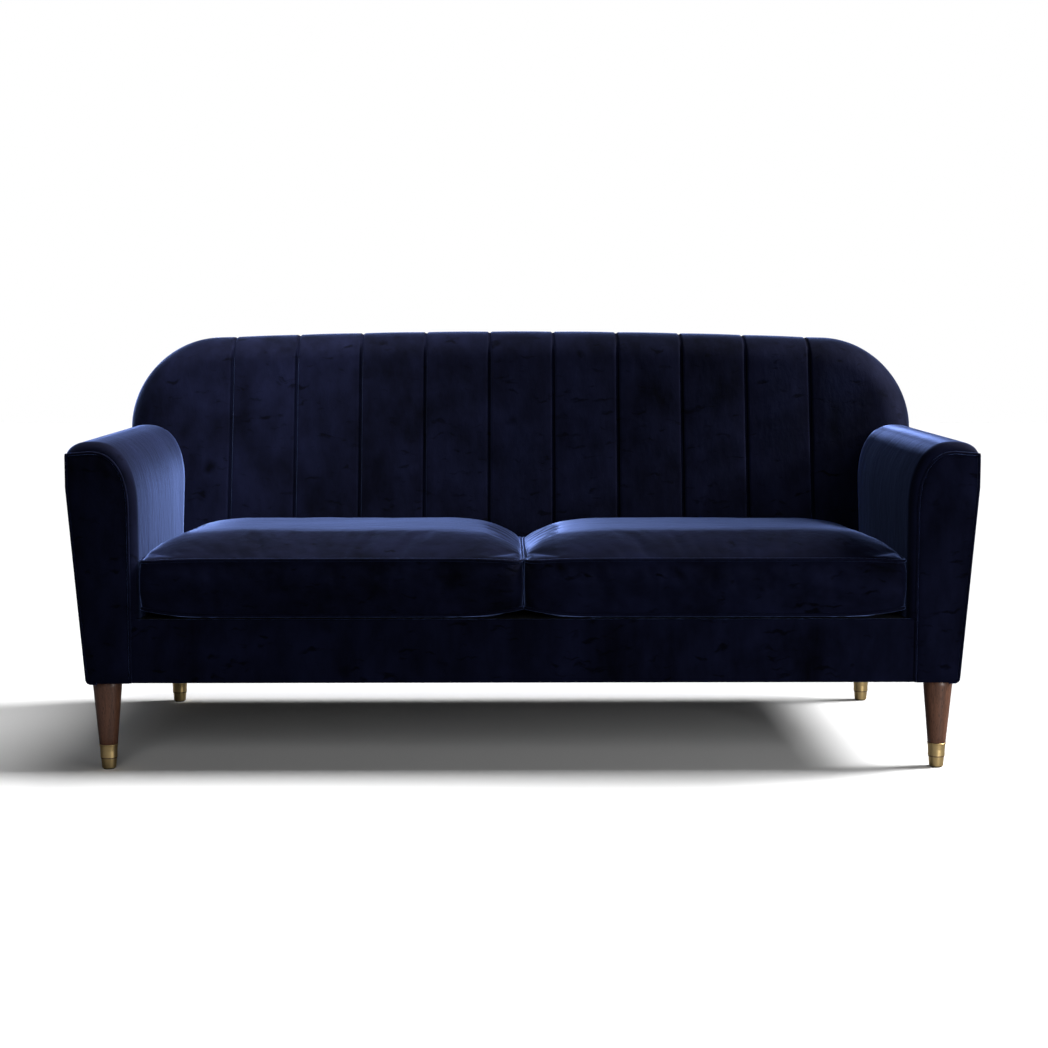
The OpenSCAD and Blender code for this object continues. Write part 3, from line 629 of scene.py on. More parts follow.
def stripToPiping(index, points, faces, steps, fromRear):
    # Carries a sheet from its rim to the back's piping and tucks its last row under it
    loop = boundaryLoop(index)
    edge = points[loop]
    d, up = edgeDistance(edge[:, 0], edge[:, 2])
    across = np.sign(edge[:, 0]) * np.sqrt(np.maximum(1 - up ** 2, 0))
    edgeX, edgeZ = edge[:, 0] + across * d, edge[:, 2] + up * d
    seatY = pipingSeat(edgeZ, up)[0]
    endY = np.minimum(seatY, edge[:, 1] - 0.002) + 0.001 if fromRear else seatY - 0.001
    strips = [loop]
    for k in range(1, steps + 1):
        y = edge[:, 1] + (endY - edge[:, 1]) * k / steps
        share = np.clip((y - ridgeY) / rearRun, 0, 1)
        down = back["rearRoll"] * (1 - np.sqrt(1 - share ** 2)) * up
        tuck = 0.002 * (k == steps)
        row = np.stack([edgeX - across * tuck, y, edgeZ - down - up * tuck], -1)
        strips.append(np.arange(len(loop)) + len(points))
        points = np.vstack([points, row])
    return points, np.vstack([faces, gridQuads(np.array(strips))])


def insideBack():
    x = backColumns()
    topZ = backEdge(x)
    roll = back["rollRadius"] * 1.05
    turn = 1 - np.cos(np.radians(np.linspace(90, 0, 17)))
    rows = [back["bottomZ"] + (topZ - roll - back["bottomZ"]) * i / 34 for i in range(34)]
    z = np.array(rows + [topZ - roll * t for t in turn])
    grid = np.stack([np.broadcast_to(x, z.shape), np.zeros_like(z), z], -1)
    grid[..., 1] = backDepth(grid[..., 0], grid[..., 2])
    index, points, faces = gridMesh(grid)
    points, faces = stripToPiping(index, points, faces, 5, fromRear=False)
    points = narrow(points, back["sideTopZ"], back["sideInset"])
    faces = turnTowards(points, faces, (0, -1, 0.3))
    normals = vertexNormals(points, faces)
    offset = np.zeros(len(points))
    for seam in seams:
        away = np.abs(points[:, 0] - seam) / back["grooveWidth"]
        offset -= back["grooveDepth"] * np.clip(back["grooveReach"] - away, 0, 1) ** 0.8
    place = (points[:, 0] - seams[0]) / back["channelPitch"]
    inside = (place > 0) & (place < len(seams) - 1)
    puff = back["puff"] * (1 - np.abs(2 * (place % 1) - 1) ** 2.2)
    outside = back["puff"] * np.clip((np.abs(points[:, 0]) - seams[-1]) / 0.03, 0, 1)
    offset += np.where(inside, puff, outside)
    offset *= 1 - back["ridgeCalm"] * np.clip(normals[:, 2] * 1.5, 0, 1)
    outer = points + normals * offset[:, None]
    outer, faces = thicken(outer, faces, normals, back["thickness"], base=points)
    piece = newPiece("inside_back_pad", outer, faces, finishes["velvet"], sharp=60)
    # Faces close to each seam take the no-sheen velvet: painted shade that darkens the grooves
    piece.data.materials.append(finishes["velvet_groove_painted_shade"])
    for face in piece.data.polygons:
        if np.min(np.abs(seams - face.center.x)) < back["grooveShadeWidth"]:
            face.material_index = 1
    fit(piece, "sofa_frame", ["back_pad"])


rear = {
    "sideRollZ": 0.008,
    "sideRollY": 0.012,
    "topInset": 0.012,
    "fineHeight": 0.11,  # the rows lie closer together over this height at the top
    "puff": 0.0035,
    "thickness": 0.006,
    "sideTopZ": 0.704,
    "sideInset": 0.0036,
}


def rearCover():
    x = backColumns()[::2]
    x = np.unique(np.concatenate([x, [-sofa["halfWidth"], sofa["halfWidth"]]]))
    beyond = np.clip((np.abs(x) - crownX) / back["cornerRadius"], 0, 1)
    up = np.sqrt(1 - beyond ** 2)
    inset = rear["topInset"] * up
    topZ = backEdge(x) - inset * np.maximum(up, 0.3)
    bottom = sofa["baseZ"]
    turn = 1 - np.cos(np.radians(np.linspace(90, 0, 15)))
    rows = [bottom + (topZ - rear["fineHeight"] - bottom) * i / 30 for i in range(30)]
    rows += [topZ - rear["fineHeight"] * t for t in turn]
    z = np.array(rows)
    xs = np.broadcast_to(x, z.shape)
    d, up = edgeDistance(xs, z)
    rollZ = rear["sideRollZ"] + (back["rearRoll"] - rear["sideRollZ"]) * up
    rollY = rear["sideRollY"] + (rearRun - rear["sideRollY"]) * up
    share = np.clip(1 - d / rollZ, 0, 1)
    y = sofa["rearY"] - rollY + rollY * np.sqrt(1 - share ** 2)
    puff = rear["puff"] * np.clip(d / 0.08, 0, 1) * np.clip((z - bottom) / 0.05, 0, 1)
    y = y + puff - rear["puff"]
    index, points, faces = gridMesh(np.stack([xs, y, z], -1))
    points, faces = stripToPiping(index, points, faces, 6, fromRear=True)
    points = narrow(points, rear["sideTopZ"], rear["sideInset"])
    faces = turnTowards(points, faces, (0, 1, 0.2))
    normals = vertexNormals(points, faces)
    points, faces = thicken(points, faces, normals, rear["thickness"])
    piece = newPiece("rear_cover", points, faces, finishes["velvet"], sharp=60)
    fit(piece, "sofa_frame", ["back_rear_cover"])


def backPiping():
    x = backColumns()
    x = x[np.abs(x) <= crownX]
    angles = np.radians(np.linspace(90, 0, 26)[1:])
    r = back["cornerRadius"]
    cornerX, cornerTop = crownX + r * np.cos(angles), cornerZ + r * np.sin(angles)
    down = np.linspace(cornerZ, 0.7, 4)[1:]
    edgeX = np.concatenate([x, cornerX, np.full(3, sofa["halfWidth"])])
    edgeZ = np.concatenate([backEdge(x), cornerTop, down])
    up = np.concatenate([np.ones(len(x)), np.sin(angles), np.zeros(3)])
    keep = edgeX >= 0
    edgeX, edgeZ, up = edgeX[keep], edgeZ[keep], up[keep]
    y, drop = pipingSeat(edgeZ, up)
    sink = sofa["pipingRadius"] * 0.8
    px = edgeX - np.sqrt(1 - up ** 2) * sink
    pz = edgeZ - drop - up * sink
    half = np.stack([px, y, pz], -1)
    line = np.vstack([half[::-1], half[1:] * (-1, 1, 1)])
    addPiping("back_piping", [(line, False)], sofa["pipingRadius"], "sofa_frame", "back_welt")


insideBack()
rearCover()
backPiping()
print("back built")


# Arms, drawn for the right-hand side and mirrored for the left
def armOutline(steps=(14, 26, 12)):
    # Inner face, rounded top and outer edge: padded line and the facing's line, point for point
    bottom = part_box("arm_right_pad")[0].z
    straight = np.linspace(bottom, arm["roundZ"], steps[0] + 1)[:-1]
    inX, inZ = quarterTurn(steps[1], arm["roundPower"])
    outX, outZ = quarterTurn(steps[2])
    corner = sofa["halfWidth"] - 0.0015
    pad = np.vstack([
        np.stack([np.full(steps[0], arm["innerX"]), straight], -1),
        np.stack([arm["ridgeX"] - (arm["ridgeX"] - arm["innerX"]) * inX,
                  arm["roundZ"] + (arm["ridgeZ"] - arm["roundZ"]) * inZ], -1),
        np.stack([arm["ridgeX"] + (corner - arm["ridgeX"]) * outZ[1:],
                  arm["ridgeZ"] - (arm["ridgeZ"] - arm["cornerZ"]) * (1 - outX[1:])], -1)])
    t = np.linspace(0, 1, steps[2] + 1)[1:]
    edge = sofa["halfWidth"] - sofa["pipingRadius"]
    board = np.vstack([
        np.stack([np.full(steps[0], arm["facingX"]), straight], -1),
        np.stack([arm["ridgeX"] - (arm["ridgeX"] - arm["facingX"]) * inX,
                  arm["roundZ"] + (arm["facingRidgeZ"] - arm["roundZ"]) * inZ], -1),
        np.stack([arm["ridgeX"] + (edge - arm["ridgeX"]) * t,
                  arm["facingRidgeZ"] + (arm["cornerZ"] - arm["facingRidgeZ"]) * t], -1)])
    return pad, board


def sided(points, side):
    return points * np.array([side, 1, 1])


def armPad(side, name):
    pad, board = armOutline()
    sloped = np.clip((pad[:, 1] - arm["riseFromZ"]) / arm["riseOver"], 0, 1)
    turn = np.radians(np.linspace(0, 90, 11))
    frontY = sofa["frontY"] + sofa["pipingRadius"]
    rows = []
    for a in turn:
        line = pad + (board - pad) * (1 - math.sin(a))
        y = np.full(len(pad), frontY + arm["frontRoll"] * (1 - math.cos(a)))
        rows.append(np.stack([line[:, 0], y, line[:, 1]], -1))
    startY = frontY + arm["frontRoll"]
    endY = backY(pad[:, 1] + 0.02) - 0.0006
    shares = np.linspace(0, 1, 40)[1:-1]
    for s in list(shares) + [0.992, 0.998, 1.0]:
        y = startY + (endY - startY) * s
        tuck = {0.992: 0.0012, 0.998: 0.003, 1.0: 0.006}.get(s, 0.0)
        x = pad[:, 0] + tuck * (pad[:, 0] < arm["ridgeX"] - 0.02)
        z = pad[:, 1] - tuck * (pad[:, 0] > arm["ridgeX"] - 0.05)
        rows.append(np.stack([x, y, z], -1))
    grid = np.array(rows)
    grid[..., 2] += (grid[..., 1] - sofa["frontY"]) * arm["slope"] * sloped
    points, faces = gridMesh(grid)[1:]
    faces = turnTowards(points, faces, (-1, 0, 0.6))
    normals = vertexNormals(points, faces)
    # The padding is fuller along the inner face
    fullness = arm["fullness"] * np.clip((points[:, 1] + 0.40) / 0.1, 0, 1)
    fullness = fullness * np.clip((0.05 - points[:, 1]) / 0.1, 0, 1)
    outer = points + normals * (fullness * (points[:, 0] < arm["ridgeX"]))[:, None]
    outer, faces = thicken(outer, faces, normals, arm["padThickness"], base=points)
    piece = newPiece(name + "_arm_padding", sided(outer, side), faces, finishes["velvet_arm"], sharp=60)
    fit(piece, "sofa_frame", [f"arm_{name}_pad"])


def facingEdges(z, inset):
    # Inner and outer X of the facing board at height z
    t = np.clip((z - arm["roundZ"]) / (arm["facingRidgeZ"] - arm["roundZ"]), 0, 1)
    p = arm["roundPower"]
    inner = arm["ridgeX"] - (arm["ridgeX"] - arm["facingX"]) * (1 - t ** p) ** (1 / p)
    outer = sofa["halfWidth"] - sofa["pipingRadius"] - taperAt(z)
    return inner + inset, outer - inset


def flatPanel(side, name, grid, outward, thickness, node):
    points, faces = gridMesh(grid)[1:]
    faces = turnTowards(points, faces, outward)
    points, faces = thicken(points, faces, np.array(outward, float), thickness)
    piece = newPiece(name, sided(points, side), faces, finishes["velvet"], sharp=60)
    fit(piece, "sofa_frame", [node])


def armFacing(side, name):
    inset = sofa["pipingRadius"] + 0.0003
    topZ = arm["facingRidgeZ"] - inset
    low = np.linspace(sofa["baseZ"], arm["roundZ"], 30)[:-1]
    arc = arm["roundZ"] + (topZ - arm["roundZ"]) * np.sin(np.radians(np.linspace(0, 90, 26)))
    z = np.concatenate([low[:1], low[:1] + 0.002, low[:1] + 0.006, low[1:], arc])
    u = np.concatenate([[0, 0.015, 0.04, 0.08], np.linspace(0.14, 0.86, 13), [0.92, 0.96, 0.985, 1]])
    left, right = facingEdges(z, inset)
    x = left[:, None] + (right - left)[:, None] * u
    slopeDown = (arm["facingRidgeZ"] - arm["cornerZ"]) * np.clip((x - arm["ridgeX"]) / arm["cornerRun"], 0, 1)
    zs = z[:, None] - slopeDown * np.clip((z[:, None] - 0.6) / 0.07, 0, 1)
    d = np.minimum(np.minimum(x - left[:, None], right[:, None] - x), np.minimum(topZ - z[:, None], 1))
    d = np.minimum(d, z[:, None] - sofa["baseZ"])
    y = sofa["frontY"] + 0.0035 - arm["facingPuff"] * (1 - np.exp(-np.maximum(d, 0) / 0.008))
    flatPanel(side, name + "_arm_facing", np.stack([x, y, zs], -1), (0, -1, 0), arm["facingThickness"],
              f"arm_{name}_facing")


def armPiping(side, name):
    board = armOutline((20, 30, 8))[1]
    foot = sofa["baseZ"] + sofa["pipingRadius"] * 0.4
    low = np.linspace(foot, board[0, 1], 10)[:-1]
    inner = np.stack([np.full(len(low), arm["facingX"]), low], -1)
    outerZ = np.concatenate([np.linspace(arm["cornerZ"] - 0.004, sofa["taperTopZ"], 8),
                             np.linspace(sofa["taperTopZ"], foot + 0.006, 22)[1:]])
    outer = np.stack([facingEdges(outerZ, 0)[1], outerZ], -1)
    footX = facingEdges(np.array([foot]), 0)[1][0]
    hem = np.array([[footX - 0.002, foot + 0.0015],
                    [footX - 0.007, foot - 0.0005],
                    [footX - 0.02, foot - 0.0008]])
    line = np.vstack([inner, board, outer, hem])
    line = np.stack([line[:, 0], np.full(len(line), sofa["frontY"] + sofa["pipingRadius"]), line[:, 1]], -1)
    lines = [(sided(line, side), False)]
    addPiping(name + "_arm_piping", lines, sofa["pipingRadius"], "sofa_frame", f"arm_{name}_welt")


def outsidePanel(side, name):
    low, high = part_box("arm_right_outside_panel")
    y = np.concatenate([[low.y, low.y + 0.002, low.y + 0.007], np.linspace(low.y + 0.02, high.y - 0.02, 44),
                        [high.y - 0.007, high.y - 0.002, high.y]])
    share = np.concatenate([[0, 0.004, 0.014], np.linspace(0.04, 0.96, 24), [0.985, 0.995, 1]])
    top = arm["cornerZ"] + (y - sofa["frontY"]) * arm["slope"] + 0.0005
    z = low.z + (top - low.z)[None, :] * share[:, None]
    ys = np.broadcast_to(y, z.shape)
    d = np.minimum(np.minimum(ys - low.y, high.y - ys), np.minimum(z - low.z, top[None, :] - z))
    x = sofa["halfWidth"] - taperAt(z) - 0.003 + 0.0042 * (1 - np.exp(-d / 0.006))
    x = x + 0.002 * np.clip(d / 0.12, 0, 1)
    flatPanel(side, name + "_arm_outside", np.stack([x, ys, z], -1), (1, 0, 0), arm["outsideThickness"],
              f"arm_{name}_outside_panel")


for side, name in ((1, "right"), (-1, "left")):
    armPad(side, name)
    armFacing(side, name)
    armPiping(side, name)
    outsidePanel(side, name)
print("arms built")


# Boards with soft rounded edges: the covered front rail and the seat deck under the cushions
def softBoard(name, low, high, radius, puff, steps, finish, waves=None):
    # A box whose edges are rounded and whose large faces swell a little
    low, high = np.array(low), np.array(high)
    axes = []
    for k in range(3):
        a, b, r = low[k], high[k], min(radius, (high[k] - low[k]) / 2 - 1e-4)
        ends = a + r * (1 - np.cos(np.radians(np.linspace(0, 90, 5))))
        middle = np.linspace(a + r, b - r, steps[k] + 1)[1:-1]
        axes.append(np.concatenate([ends, middle, (a + b - ends)[::-1]]))
    points, faces, start = [], [], 0
    for k in range(3):
        u, v = [m for m in range(3) if m != k]
        for end in (low[k], high[k]):
            gridU, gridV = np.meshgrid(axes[u], axes[v], indexing="ij")
            patch = np.zeros(gridU.shape + (3,))
            patch[..., u], patch[..., v], patch[..., k] = gridU, gridV, end
            index = np.arange(gridU.size).reshape(gridU.shape) + start
            points.append(patch.reshape(-1, 3))
            faces.append(gridQuads(index))
            start += gridU.size
    points, faces = np.vstack(points), np.vstack(faces)
    r = np.minimum(radius, (high - low) / 2 - 1e-4)
    core = np.clip(points, low + r, high - r)
    out = points - core
    length = np.linalg.norm(out, axis=1, keepdims=True)
    rounded = core + out / np.maximum(length, 1e-9) * np.minimum(r.min(), length)
    # Faces that lie in one plane keep their own offset
    flat = (np.abs(out) > 1e-7).sum(1) <= 1
    rounded[flat] = points[flat]
    thin = int(np.argmin(high - low))
    u, v = [m for m in range(3) if m != thin]
    edge = np.minimum.reduce([points[:, u] - low[u], high[u] - points[:, u],
                              points[:, v] - low[v], high[v] - points[:, v]])
    middle = (low[thin] + high[thin]) / 2
    swell = puff * (1 - np.exp(-np.maximum(edge, 0) / 0.02))
    if waves is not None:
        swell = swell + waves(points)
    rounded[:, thin] += np.sign(points[:, thin] - middle) * swell
    return newPiece(name, rounded, faces, finish, sharp=70)


def frontRailCover():
    low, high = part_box("front_rail_cover")
    low.x, high.x = low.x - 0.0052, high.x + 0.0052
    piece = softBoard("front_rail_cover_velvet", low, high, 0.0045, 0.0012, (90, 2, 10), finishes["velvet"])
    fit(piece, "sofa_frame", ["front_rail_cover"])


def seatDeck():
    low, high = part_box("seat_deck")

    def springShow(points):
        return -0.0008 * (0.5 + 0.5 * np.cos(points[:, 0] * 2 * math.pi / 0.2)) * (points[:, 2] > 0.318)

    piece = softBoard("seat_deck_lining", low, high, 0.004, 0.0, (84, 28, 2), finishes["black_lining"],
                      springShow)
    fit(piece, "sofa_frame", ["seat_deck"])


frontRailCover()
seatDeck()
print("base covers built")


# Seat cushions: a boxed form on a regular grid, filled by cloth pressure between its seams
cushion = {
    "x": (0.003, 0.8025),
    "frontY": -0.427,
    "rearGap": 0.005,
    "seamZ": (0.3325, 0.449),
    "frontCorner": 0.034,
    "rearCorner": 0.014,
    "columns": 84,
    "rows": 54,
    "boxing": (0, 0.06, 0.13, 0.2, 0.27, 0.34, 0.41, 0.445, 0.5,
               0.555, 0.59, 0.66, 0.73, 0.8, 0.87, 0.94, 1),
    "crown": 0.044,
    "crownRun": (0.19, 0.16, 0.06),  # from the sides, the front and the rear
    "underside": -0.007,
    "boxingPuff": 0.0065,
    "pipingRadius": 0.0038,
    "cornerLift": (-0.005, 0.013),  # of the upper and lower piping at the front corners
    "cornerReach": (0.065, 0.09),
    "pressure": 4.0,
    "frames": 20,
    "reach": 0.011,
    "slack": -0.012,
    "middleGap": 0.001,  # to the plane between the two cushions
    "armGap": 0.0012,
    "backGap": 0.0012,
    "foremostY": -0.4375,
    "deckZ": 0.3245,
    "zipLevels": [6, 7, 8, 9, 10],  # rings of the boxing
    "zipGap": 0.0031,
    "zipDepth": 0.0036,
    "wrapDepths": (0.0048, 0.016),  # of its outer and inner face
    "foamDepth": 0.0165,
}


def cushionRear(z):
    return backY(z) - cushion["rearGap"] / math.cos(back["lean"])


def resample(line, count):
    lengths = np.concatenate([[0], np.cumsum(np.linalg.norm(np.diff(line, axis=0), axis=1))])
    at = np.linspace(0, lengths[-1], count + 1)
    return np.stack([np.interp(at, lengths, line[:, k]) for k in range(line.shape[1])], -1)


def cushionPlan():
    # Four sides of the plan outline, each from corner middle to corner middle
    x0, x1 = cushion["x"]
    y0, y1 = cushion["frontY"], cushionRear(cushion["seamZ"][1])
    corners = [(x0, y0, cushion["frontCorner"], 1, 1), (x1, y0, cushion["frontCorner"], -1, 1),
               (x1, y1, cushion["rearCorner"], -1, -1), (x0, y1, cushion["rearCorner"], 1, -1)]
    arcs = []
    for x, y, r, sx, sy in corners:
        a = np.radians(np.linspace(0, 90, 13))
        arcs.append(np.stack([x + sx * r * (1 - np.cos(a)), y + sy * r * (1 - np.sin(a))], -1))
    # Each arc runs from its side edge to its front or rear edge
    loops = [arcs[0], arcs[1][::-1], arcs[2], arcs[3][::-1]]
    sides = []
    for k, count in enumerate((cushion["columns"], cushion["rows"]) * 2):
        after = loops[(k + 1) % 4]
        line = np.vstack([loops[k][6:], after[:7]])
        sides.append(resample(line, count))
    return sides


def atDepth(y, z):
    # Draws plan depths in to what the leaning back leaves at height z
    share = (cushionRear(z) - cushion["frontY"]) / (cushionRear(cushion["seamZ"][1]) - cushion["frontY"])
    return cushion["frontY"] + (y - cushion["frontY"]) * share


def rise(distance, run):
    t = np.clip(distance / run, 0, 1)
    return (1 - (1 - t) ** 2) ** 0.56


def cushionBoxing(loop):
    z0, z1 = cushion["seamZ"]
    points = []
    for share in cushion["boxing"]:
        z = z0 + (z1 - z0) * share
        ring = loop.copy()
        ring[:, 1] = atDepth(loop[:, 1], z)
        along = np.roll(ring, -1, 0) - np.roll(ring, 1, 0)
        out = np.stack([along[:, 1], -along[:, 0]], -1)
        out /= np.linalg.norm(out, axis=1, keepdims=True)
        ring = ring + out * cushion["boxingPuff"] * math.sin(math.pi * share)
        points.append(np.column_stack([ring, np.full(len(loop), z)]))
    return np.vstack(points)


def cushionPanel(sides, u, v, z, crown):
    # Upper or lower panel: its plan is spanned between the four sides, its height swells inwards
    front, right, rear, left = sides[0], sides[1], sides[2][::-1], sides[3][::-1]
    u, v = u[None, :, None], v[:, None, None]
    across = (1 - v) * front[None] + v * rear[None]
    along = (1 - u) * left[:, None] + u * right[:, None]
    bent = (1 - v) * ((1 - u) * front[0] + u * front[-1]) + v * ((1 - u) * rear[0] + u * rear[-1])
    plan = across + along - bent
    plan[..., 1] = atDepth(plan[..., 1], z)
    width, length = cushion["x"][1] - cushion["x"][0], plan[-1, 0, 1] - plan[0, 0, 1]
    u, v = u[0, :, 0], v[:, 0, 0]
    runSide, runFront, runRear = cushion["crownRun"]
    roll = 1 - (1 - np.clip(v * length / runFront, 0, 1)) ** 2.2
    swell = np.minimum(rise(u * width, runSide), rise((1 - u) * width, runSide))[None, :]
    swell = swell * (roll * rise((1 - v) * length, runRear))[:, None]
    return np.dstack([plan, z + crown * swell])


def cushionGrid():
    nx, ny = cushion["columns"], cushion["rows"]
    z0, z1 = cushion["seamZ"]
    sides = cushionPlan()
    loop = np.vstack([s[:-1] for s in sides])
    count, levels = len(loop), len(cushion["boxing"])
    points = cushionBoxing(loop)
    ringIndex = np.arange(levels * count).reshape(levels, count)
    faces = [tubeQuads(ringIndex)]
    u, v = np.linspace(0, 1, nx + 1), np.linspace(0, 1, ny + 1)
    for level, z, crown in ((levels - 1, z1, cushion["crown"]), (0, z0, cushion["underside"])):
        inner = cushionPanel(sides, u, v, z, crown)[1:-1, 1:-1].reshape(-1, 3)
        index = np.full((ny + 1, nx + 1), -1)
        base = level * count
        index[0, :] = base + np.arange(nx + 1)
        index[:, nx] = base + nx + np.arange(ny + 1)
        index[ny, :] = base + 2 * nx + ny - np.arange(nx + 1)
        index[:, 0] = base + (2 * nx + 2 * ny - np.arange(ny + 1)) % count
        index[1:-1, 1:-1] = len(points) + np.arange(len(inner)).reshape(ny - 1, nx - 1)
        points = np.vstack([points, inner])
        faces.append(gridQuads(index))
    return points, np.vstack(faces), ringIndex


def outwardFaces(points, faces):
    mesh = meshFrom("turning", points, faces)
    work = bmesh.new()
    work.from_mesh(mesh)
    bmesh.ops.recalc_face_normals(work, faces=work.faces)
    turned = np.array([[v.index for v in f.verts] for f in work.faces])
    work.free()
    bpy.data.meshes.remove(mesh)
    return turned


def fillWithPressure(points, faces, held):
    # Cloth pressure swells the cover between its held seams
    blank = linked("cushion_filling", meshFrom("cushion_filling", points, faces))
    seam = blank.vertex_groups.new(name="seams")
    seam.add([int(i) for i in held], 1.0, "REPLACE")
    cloth = blank.modifiers.new("filling", "CLOTH")
    for key, value in {
        "quality": 6, "mass": 0.25, "tension_stiffness": 18, "compression_stiffness": 18,
        "shear_stiffness": 6, "bending_stiffness": 0.6, "shrink_min": cushion["slack"],
        "vertex_group_mass": "seams", "use_pressure": True, "uniform_pressure_force": cushion["pressure"],
    }.items():
        setattr(cloth.settings, key, value)
    cloth.settings.effector_weights.gravity = 0
    cloth.collision_settings.use_collision = False
    cloth.point_cache.frame_start, cloth.point_cache.frame_end = 1, cushion["frames"]
    for step in range(1, cushion["frames"] + 1):
        scene.frame_set(step)
    moved = np.array([v.co for v in evaluated(blank).data.vertices])
    scene.frame_set(1)
    bpy.data.objects.remove(blank)
    step = moved - points
    length = np.linalg.norm(step, axis=1, keepdims=True)
    return points + step * np.minimum(1, cushion["reach"] / np.maximum(length, 1e-9))


def cushionSurface():
    points, faces, rings = cushionGrid()
    faces = outwardFaces(points, faces)
    nx, ny = cushion["columns"], cushion["rows"]
    zipRows = rings[np.ix_(cushion["zipLevels"], np.arange(nx + ny + 3, 2 * nx + ny - 2))]
    held = np.unique(np.concatenate([rings[0], rings[-1], zipRows.ravel()]))
    points = fillWithPressure(points, faces, held)
    # It stays clear of its neighbours and rests on the deck
    points[:, 0] = np.clip(points[:, 0], cushion["middleGap"], arm["innerX"] - cushion["armGap"])
    points[:, 1] = np.clip(points[:, 1], cushion["foremostY"], None)
    points[:, 1] = np.minimum(points[:, 1], backY(points[:, 2]) - cushion["backGap"])
    # The front corners of the lower seam rise and those of the upper one sink
    middle = np.mean(cushion["x"])
    across = (np.abs(points[:, 0] - middle) - (middle - cushion["x"][0])) / cushion["cornerReach"][0]
    behind = (points[:, 1] - cushion["frontY"]) / cushion["cornerReach"][1]
    corner = np.exp(-np.clip(-across, 0, None) ** 1.6 - np.clip(behind, 0, None) ** 2)
    up = np.clip((points[:, 2] - cushion["seamZ"][0]) / (cushion["seamZ"][1] - cushion["seamZ"][0]), 0, 1)
    sink, lift = cushion["cornerLift"]
    points[:, 2] += corner * (sink * up + lift * (1 - up))
    points[:, 2] = np.maximum(points[:, 2], cushion["deckZ"])
    # The zip lies in a shallow channel along the rear boxing
    lean = np.array([0, math.cos(back["lean"]), -math.sin(back["lean"])])
    z = points[zipRows, 2]
    flat = np.stack([points[zipRows, 0], cushionRear(z) - cushion["zipGap"], z], -1)
    depth = cushion["zipDepth"] * np.array([0, 1, 1, 1, 0])[:, None, None]
    points[zipRows] = flat - lean * depth
    return points, faces, rings


def subdivided(name, points, faces, finish):
    plain = newPiece(name + "_plain", points, faces, finish, sharp=180)
    finer = plain.modifiers.new("finer", "SUBSURF")
    finer.levels = finer.render_levels = 1
    made = bpy.data.meshes.new_from_object(evaluated(plain))
    bpy.data.objects.remove(plain)
    made.name = name
    return linked(name, made)


def creases(points, seed):
    # Slight unevenness of a used cushion, as offsets along the surface
    random = np.random.default_rng(seed)
    offset, waves = np.zeros(len(points)), 26
    for _ in range(waves):
        wave = random.normal(0, 1, 3) * (9, 9, 5)
        offset += np.sin(points @ wave + random.uniform(0, 6.28)) / waves
    top = np.clip((points[:, 2] - 0.452) / 0.02, 0, 1)
    return 0.006 * offset * top


def buildCushion(side, name, surface):
    points, faces, rings = surface
    body = f"cushion_{name}"
    normals = vertexNormals(points, faces)
    shaped = points + normals * creases(sided(points, side), 4 + side)[:, None]
    cover = subdivided(name + "_cushion_cover", sided(shaped, side), faces, finishes["velvet_seat"])
    if side < 0:
        cover.data.flip_normals()
    fit(cover, body, [f"cushion_{name}_cover"])
    wrapPoints = np.vstack([points - normals * depth for depth in cushion["wrapDepths"]])
    wrapFaces = np.vstack([faces, faces[:, ::-1] + len(points)])
    if side < 0:
        wrapFaces = wrapFaces[:, ::-1]
    wrap = newPiece(name + "_cushion_wrap", sided(wrapPoints, side), wrapFaces, finishes["fibre_wrap"],
                    sharp=180, recalculate=False)
    fit(wrap, body, [f"cushion_{name}_wrap"])
    foamPoints = points - normals * cushion["foamDepth"]
    foam = newPiece(name + "_cushion_foam", sided(foamPoints, side), faces, finishes["foam"], sharp=180)
    fit(foam, body, [f"cushion_{name}_foam"])
    seamLines = [(sided(points[rings[level]], side), True) for level in (0, -1)]
    addPiping(name + "_cushion_piping", seamLines, cushion["pipingRadius"], body, f"cushion_{name}_welts")


surface = cushionSurface()
print("cushion filled")
for side, name in ((1, "right"), (-1, "left")):
    buildCushion(side, name, surface)
print("cushions built")


# Turned legs and brass ferrules
leg = {
    "topRadius": 0.031,
    "ferruleTopRadius": 0.0189,
    "ferruleFootRadius": 0.0146,
    "ferruleTopZ": 0.053,
    "footZ": 0.002,
    "topZ": 0.1895,
    "ferruleWall": 0.0012,
    "sides": 64,
}


def lathe(profile, centre, sides):
    # profile: radius and height pairs from the axis round to the axis
    angles = np.linspace(0, 2 * math.pi, sides, endpoint=False)
    rings = []
    for radius, z in profile:
        ring = np.stack([centre[0] + radius * np.cos(angles), centre[1] + radius * np.sin(angles),
                         np.full(sides, z)], -1)
        rings.append(ring)
    points = np.vstack(rings)
    index = np.arange(len(points)).reshape(len(profile), sides)
    return points, tubeQuads(index)


